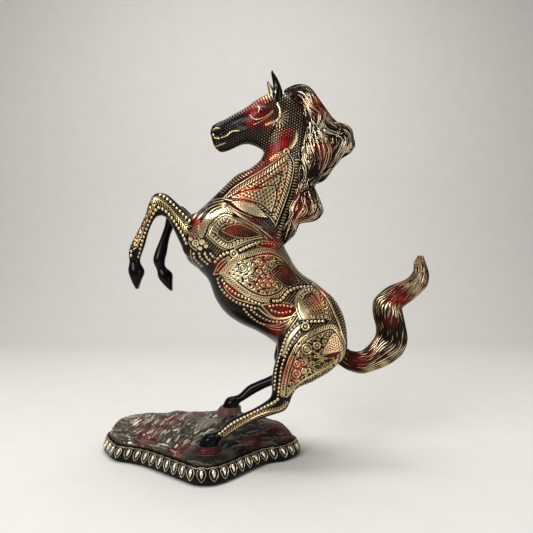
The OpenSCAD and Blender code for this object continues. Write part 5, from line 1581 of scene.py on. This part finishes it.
def turned_rows(rows, pivot, angle, from_row):
    """Rows after a joint turned about the middle of the joint's own row, in the median plane."""
    out = rows.copy()
    px, pz = (rows[pivot, 0] + rows[pivot, 2]) / 2, (rows[pivot, 1] + rows[pivot, 3]) / 2
    c, s = math.cos(math.radians(angle)), math.sin(math.radians(angle))
    for k in (0, 2):
        dx, dz = rows[from_row:, k] - px, rows[from_row:, k + 1] - pz
        out[from_row:, k], out[from_row:, k + 1] = px + dx * c - dz * s, pz + dx * s + dz * c
    return out


right_fore_rows = fore_rows.copy()
follow = np.array([r[6] for r in fore_table])
right_fore_rows[:, [0, 2]] += (RIGHT_BACK * follow)[:, None]
right_fore_rows[:, [1, 3]] -= (RIGHT_DROP * follow)[:, None]
right_fore_rows = turned_rows(right_fore_rows, KNEE, RIGHT_FOLD, KNEE + 1)
right_fore_rows = turned_rows(right_fore_rows, FETLOCK, RIGHT_HOOF_FOLD, FETLOCK + 1)
right_steps = same_steps(right_fore_rows, fore_at, leg_angles[::2])
grid, normals = run_into_torso(*right_steps, right_fore_rows, fore_at, SHOULDER_FILLET)
right_fore_grid = mirrored(work.raised(grid, normals))
right_fore = piece_from("right_foreleg_limb", [right_fore_grid], engraved_lacquer, fore_values, CREASE)
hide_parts("right_foreleg")

# Hind legs: two castings pegged and brazed to the hips and studded to the rocks. The thigh carries
# on the torso's leaves, beads run down the cannon, and the inside and the hoof are plain black.

RIGHT_STEP, RIGHT_RISE = 15.0, 17.0
HIND_SIDE_END, HIND_HOOF = 7.6, 13.6
hind_grid, hind_normals = run_into_torso(hind_grid, hind_normals, hind_rows, hind_at, HIP_FILLET)
work = Engraving(hind_grid, hind_normals)
engrave_side(work)
work.keep(np.repeat(eased((HIND_SIDE_END - hind_at) / 0.8), hind_grid.shape[1]))
work.beads(
    [(279, 398), (274, 402), (266, 406), (256, 411), (246, 416), (236, 421), (227, 427), (220, 433),
     (211, 438)], 3.7, 1.6, 2.4)
spine(work, [(288, 402), (281, 409), (268, 412), (255, 417), (242, 424), (230, 432), (222, 438)], 6, 3.2)
work.keep(outside_only(hind_at, leg_angles, HIND_HOOF, 0.4))
hind_values = work.values()
left_hind_grid = work.raised(hind_grid, hind_normals)
left_hind = piece_from("left_hind_limb", [left_hind_grid], engraved_lacquer, hind_values, CREASE)
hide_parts("left_hind_leg")
right_hind_rows = hind_rows.copy()
follow = np.array([r[6] for r in hind_table])
right_hind_rows[:, [0, 2]] += (RIGHT_STEP * follow)[:, None]
right_hind_rows[:, [1, 3]] += (RIGHT_RISE * follow)[:, None]
right_steps = same_steps(right_hind_rows, hind_at, leg_angles)
grid, normals = run_into_torso(*right_steps, right_hind_rows, hind_at, HIP_FILLET)
right_hind_grid = mirrored(work.raised(grid, normals))
right_hind = piece_from("right_hind_limb", [right_hind_grid], engraved_lacquer, hind_values, CREASE)
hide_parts("right_hind_leg")

# Tail: one casting studded through the rump, its strands chased along an S. Their ridges are rubbed
# back to the brass, and dark and red lacquer fills the grooves.

tail_table = [
    (124, 90, 118, 72, 9), (132, 85, 127, 67, 9), (139, 81, 136, 62, 9.5), (148, 81, 150, 59, 10),
    (154.5, 85.5, 165, 63, 11), (159.5, 91.5, 179, 69.5, 12), (163, 98, 190.5, 80, 12.5),
    (163, 106, 194, 93, 13), (161, 115, 192, 107, 12.5), (160, 124, 189, 120, 12),
    (161, 132, 189, 124.5, 11.4), (166, 138.5, 194, 128.5, 11), (175, 145, 201, 133.5, 10),
    (187, 150, 208.5, 140, 9), (196, 154.5, 214, 147, 7.5), (201, 161.5, 215.5, 157, 6.5),
    (201.5, 169, 213, 167, 4.5), (205, 176.5, 210, 176, 2.5)]
tail_rows = sections(tail_table)
tail_angles = -np.radians(np.linspace(0, 360, 300, endpoint=False))
tail_at = even_rows(tail_rows, 0, len(tail_table) - 1, 0.75)
fine = through(tail_rows, tail_at)
grid = loft(fine, tail_angles)
normals = outward(grid, normals_of(grid, True), fine)
grid, ridge, inner, lot = hair(
    grid, normals, tail_at, tail_angles, locks=7, strands=6, depth=0.8, wander=0.2, seed=5)
tail_red = [
    (363, 360, 8, 0.8), (369, 356, 7, 0.7), (402, 297, 9, 1.0), (393, 301, 7, 0.8), (354, 358, 9, 0.5),
    (392, 321, 7, 0.4)]
tail_dark = [
    (350, 360, 11, 1.0), (388, 328, 12, 1.0), (398, 334, 10, 1.0), (384, 318, 8, 0.8), (404, 322, 8, 0.8)]
# Painted highlights on the tail: bands where the strands are given more and paler bare brass, standing in for
# their reflections.
tail_painted_highlights = [
    (394, 311, 6, 1.0), (386, 305, 7, 0.85), (382, 296, 8, 0.5), (415, 289, 8, 0.7), (420, 282, 6, 0.4),
    (378, 345, 5, 0.8), (392, 352, 8, 0.8), (402, 349, 6, 0.55), (372, 368, 7, 0.85), (384, 364, 7, 0.75),
    (367, 356, 5, 0.4)]
tail_brown = [
    (420, 270, 8, 0.55), (418, 260, 8, 0.7), (423, 280, 6, 0.35), (378, 328, 5, 0.5), (376, 340, 6, 0.6),
    (374, 306, 6, 0.5)]
tail_values = hair_values(grid, ridge, inner, lot, tail_red, tail_dark, tail_painted_highlights, tail_brown)
tail = piece_from("tail_hair", [grid], chased_hair, tail_values, HAIR_CREASE)
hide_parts("tail_casting")

# Studio: a sweep of pale matt paper, square softboxes and a camera level with the horse's barrel,
# square to its left side. The lamps are wide, so that no hard edge shows in the lacquer.

IMAGE, LENS_PX, SENSOR_MM = 533.0, 480.0, 36.0
CLEAR_WAY, PAPER_BEND, PAPER_CUTS = 900.0, 600.0, 9
bend = np.linspace(0.05, np.pi / 2, 24)
sweep = np.concatenate([
    np.stack([np.linspace(-1500, CLEAR_WAY, 12), np.zeros(12)], axis=1),
    np.stack([CLEAR_WAY + PAPER_BEND * np.sin(bend), PAPER_BEND - PAPER_BEND * np.cos(bend)], axis=1),
    np.stack([np.full(6, CLEAR_WAY + PAPER_BEND), np.linspace(700, 2600, 6)], axis=1)])
across = np.linspace(-2600, 2600, PAPER_CUTS)
paper_points = np.stack(np.broadcast_arrays(across[None], sweep[:, :1], sweep[:, 1:]), axis=2)
i, j = np.meshgrid(np.arange(len(sweep) - 1), np.arange(PAPER_CUTS - 1), indexing="ij")
corner, beyond = i * PAPER_CUTS + j, (i + 1) * PAPER_CUTS + j
paper_quads = np.stack([corner, corner + 1, beyond + 1, beyond], axis=2).reshape(-1, 4)
paper_mesh = bpy.data.meshes.new("paper_sweep")
paper_mesh.from_pydata((paper_points.reshape(-1, 3) * MM).tolist(), [], paper_quads.tolist())
paper_mesh.shade_smooth()
paper_mesh.materials.append(plain_finish(
    "matt_paper", "#dedbd6", "#e6e3de", metallic=0.0, roughness=0.9, grain_mm=40.0, bump_mm=0.0))
paper = bpy.data.objects.new("paper_sweep", paper_mesh)
bpy.context.scene.collection.objects.link(paper)

scene = bpy.context.scene
scene.view_settings.view_transform = "Standard"
camera = bpy.data.objects.new("camera", bpy.data.cameras.new("camera"))
camera.location = (EYE_X * MM, -EYE * MM, EYE_Z * MM)
camera.rotation_euler = (math.radians(90), 0, 0)
camera.data.sensor_width = SENSOR_MM
camera.data.lens = SENSOR_MM * LENS_PX / IMAGE
camera.data.shift_y = (DRAW_Y - IMAGE / 2) / IMAGE
camera.data.clip_start = 0.01
scene.collection.objects.link(camera)
scene.camera = camera

for name, place, aim, size, watts in (
        ("key_softbox", (-0.68, -0.98, 0.84), (0.05, 0, 0.2), 0.65, 12.5),
        ("fill_softbox", (1.1, -0.9, 0.4), (0.05, 0, 0.2), 0.6, 3.6),
        ("top_softbox", (0.1, 0.1, 1.5), (0.05, 0, 0.2), 1.0, 8.0),
        ("paper_softbox", (0.0, 0.2, 1.7), (0.0, 1.2, 0.5), 1.2, 11.5)):
    lamp = bpy.data.objects.new(name, bpy.data.lights.new(name, "AREA"))
    lamp.data.shape = "SQUARE"
    lamp.data.size = size
    lamp.data.energy = watts
    lamp.location = place
    way = np.array(aim) - np.array(place)
    tilt = math.acos(-way[2] / np.linalg.norm(way))
    lamp.rotation_euler = (tilt, 0, math.atan2(way[1], way[0]) - math.pi / 2)
    scene.collection.objects.link(lamp)

world = bpy.data.worlds.new("studio")
world.use_nodes = True
world.node_tree.nodes.clear()
sky = add(world.node_tree, "ShaderNodeBackground", {"Color": linear("#e6e4e0"), "Strength": 0.22})
add(world.node_tree, "ShaderNodeOutputWorld", {"Surface": sky.outputs[0]})
scene.world = world
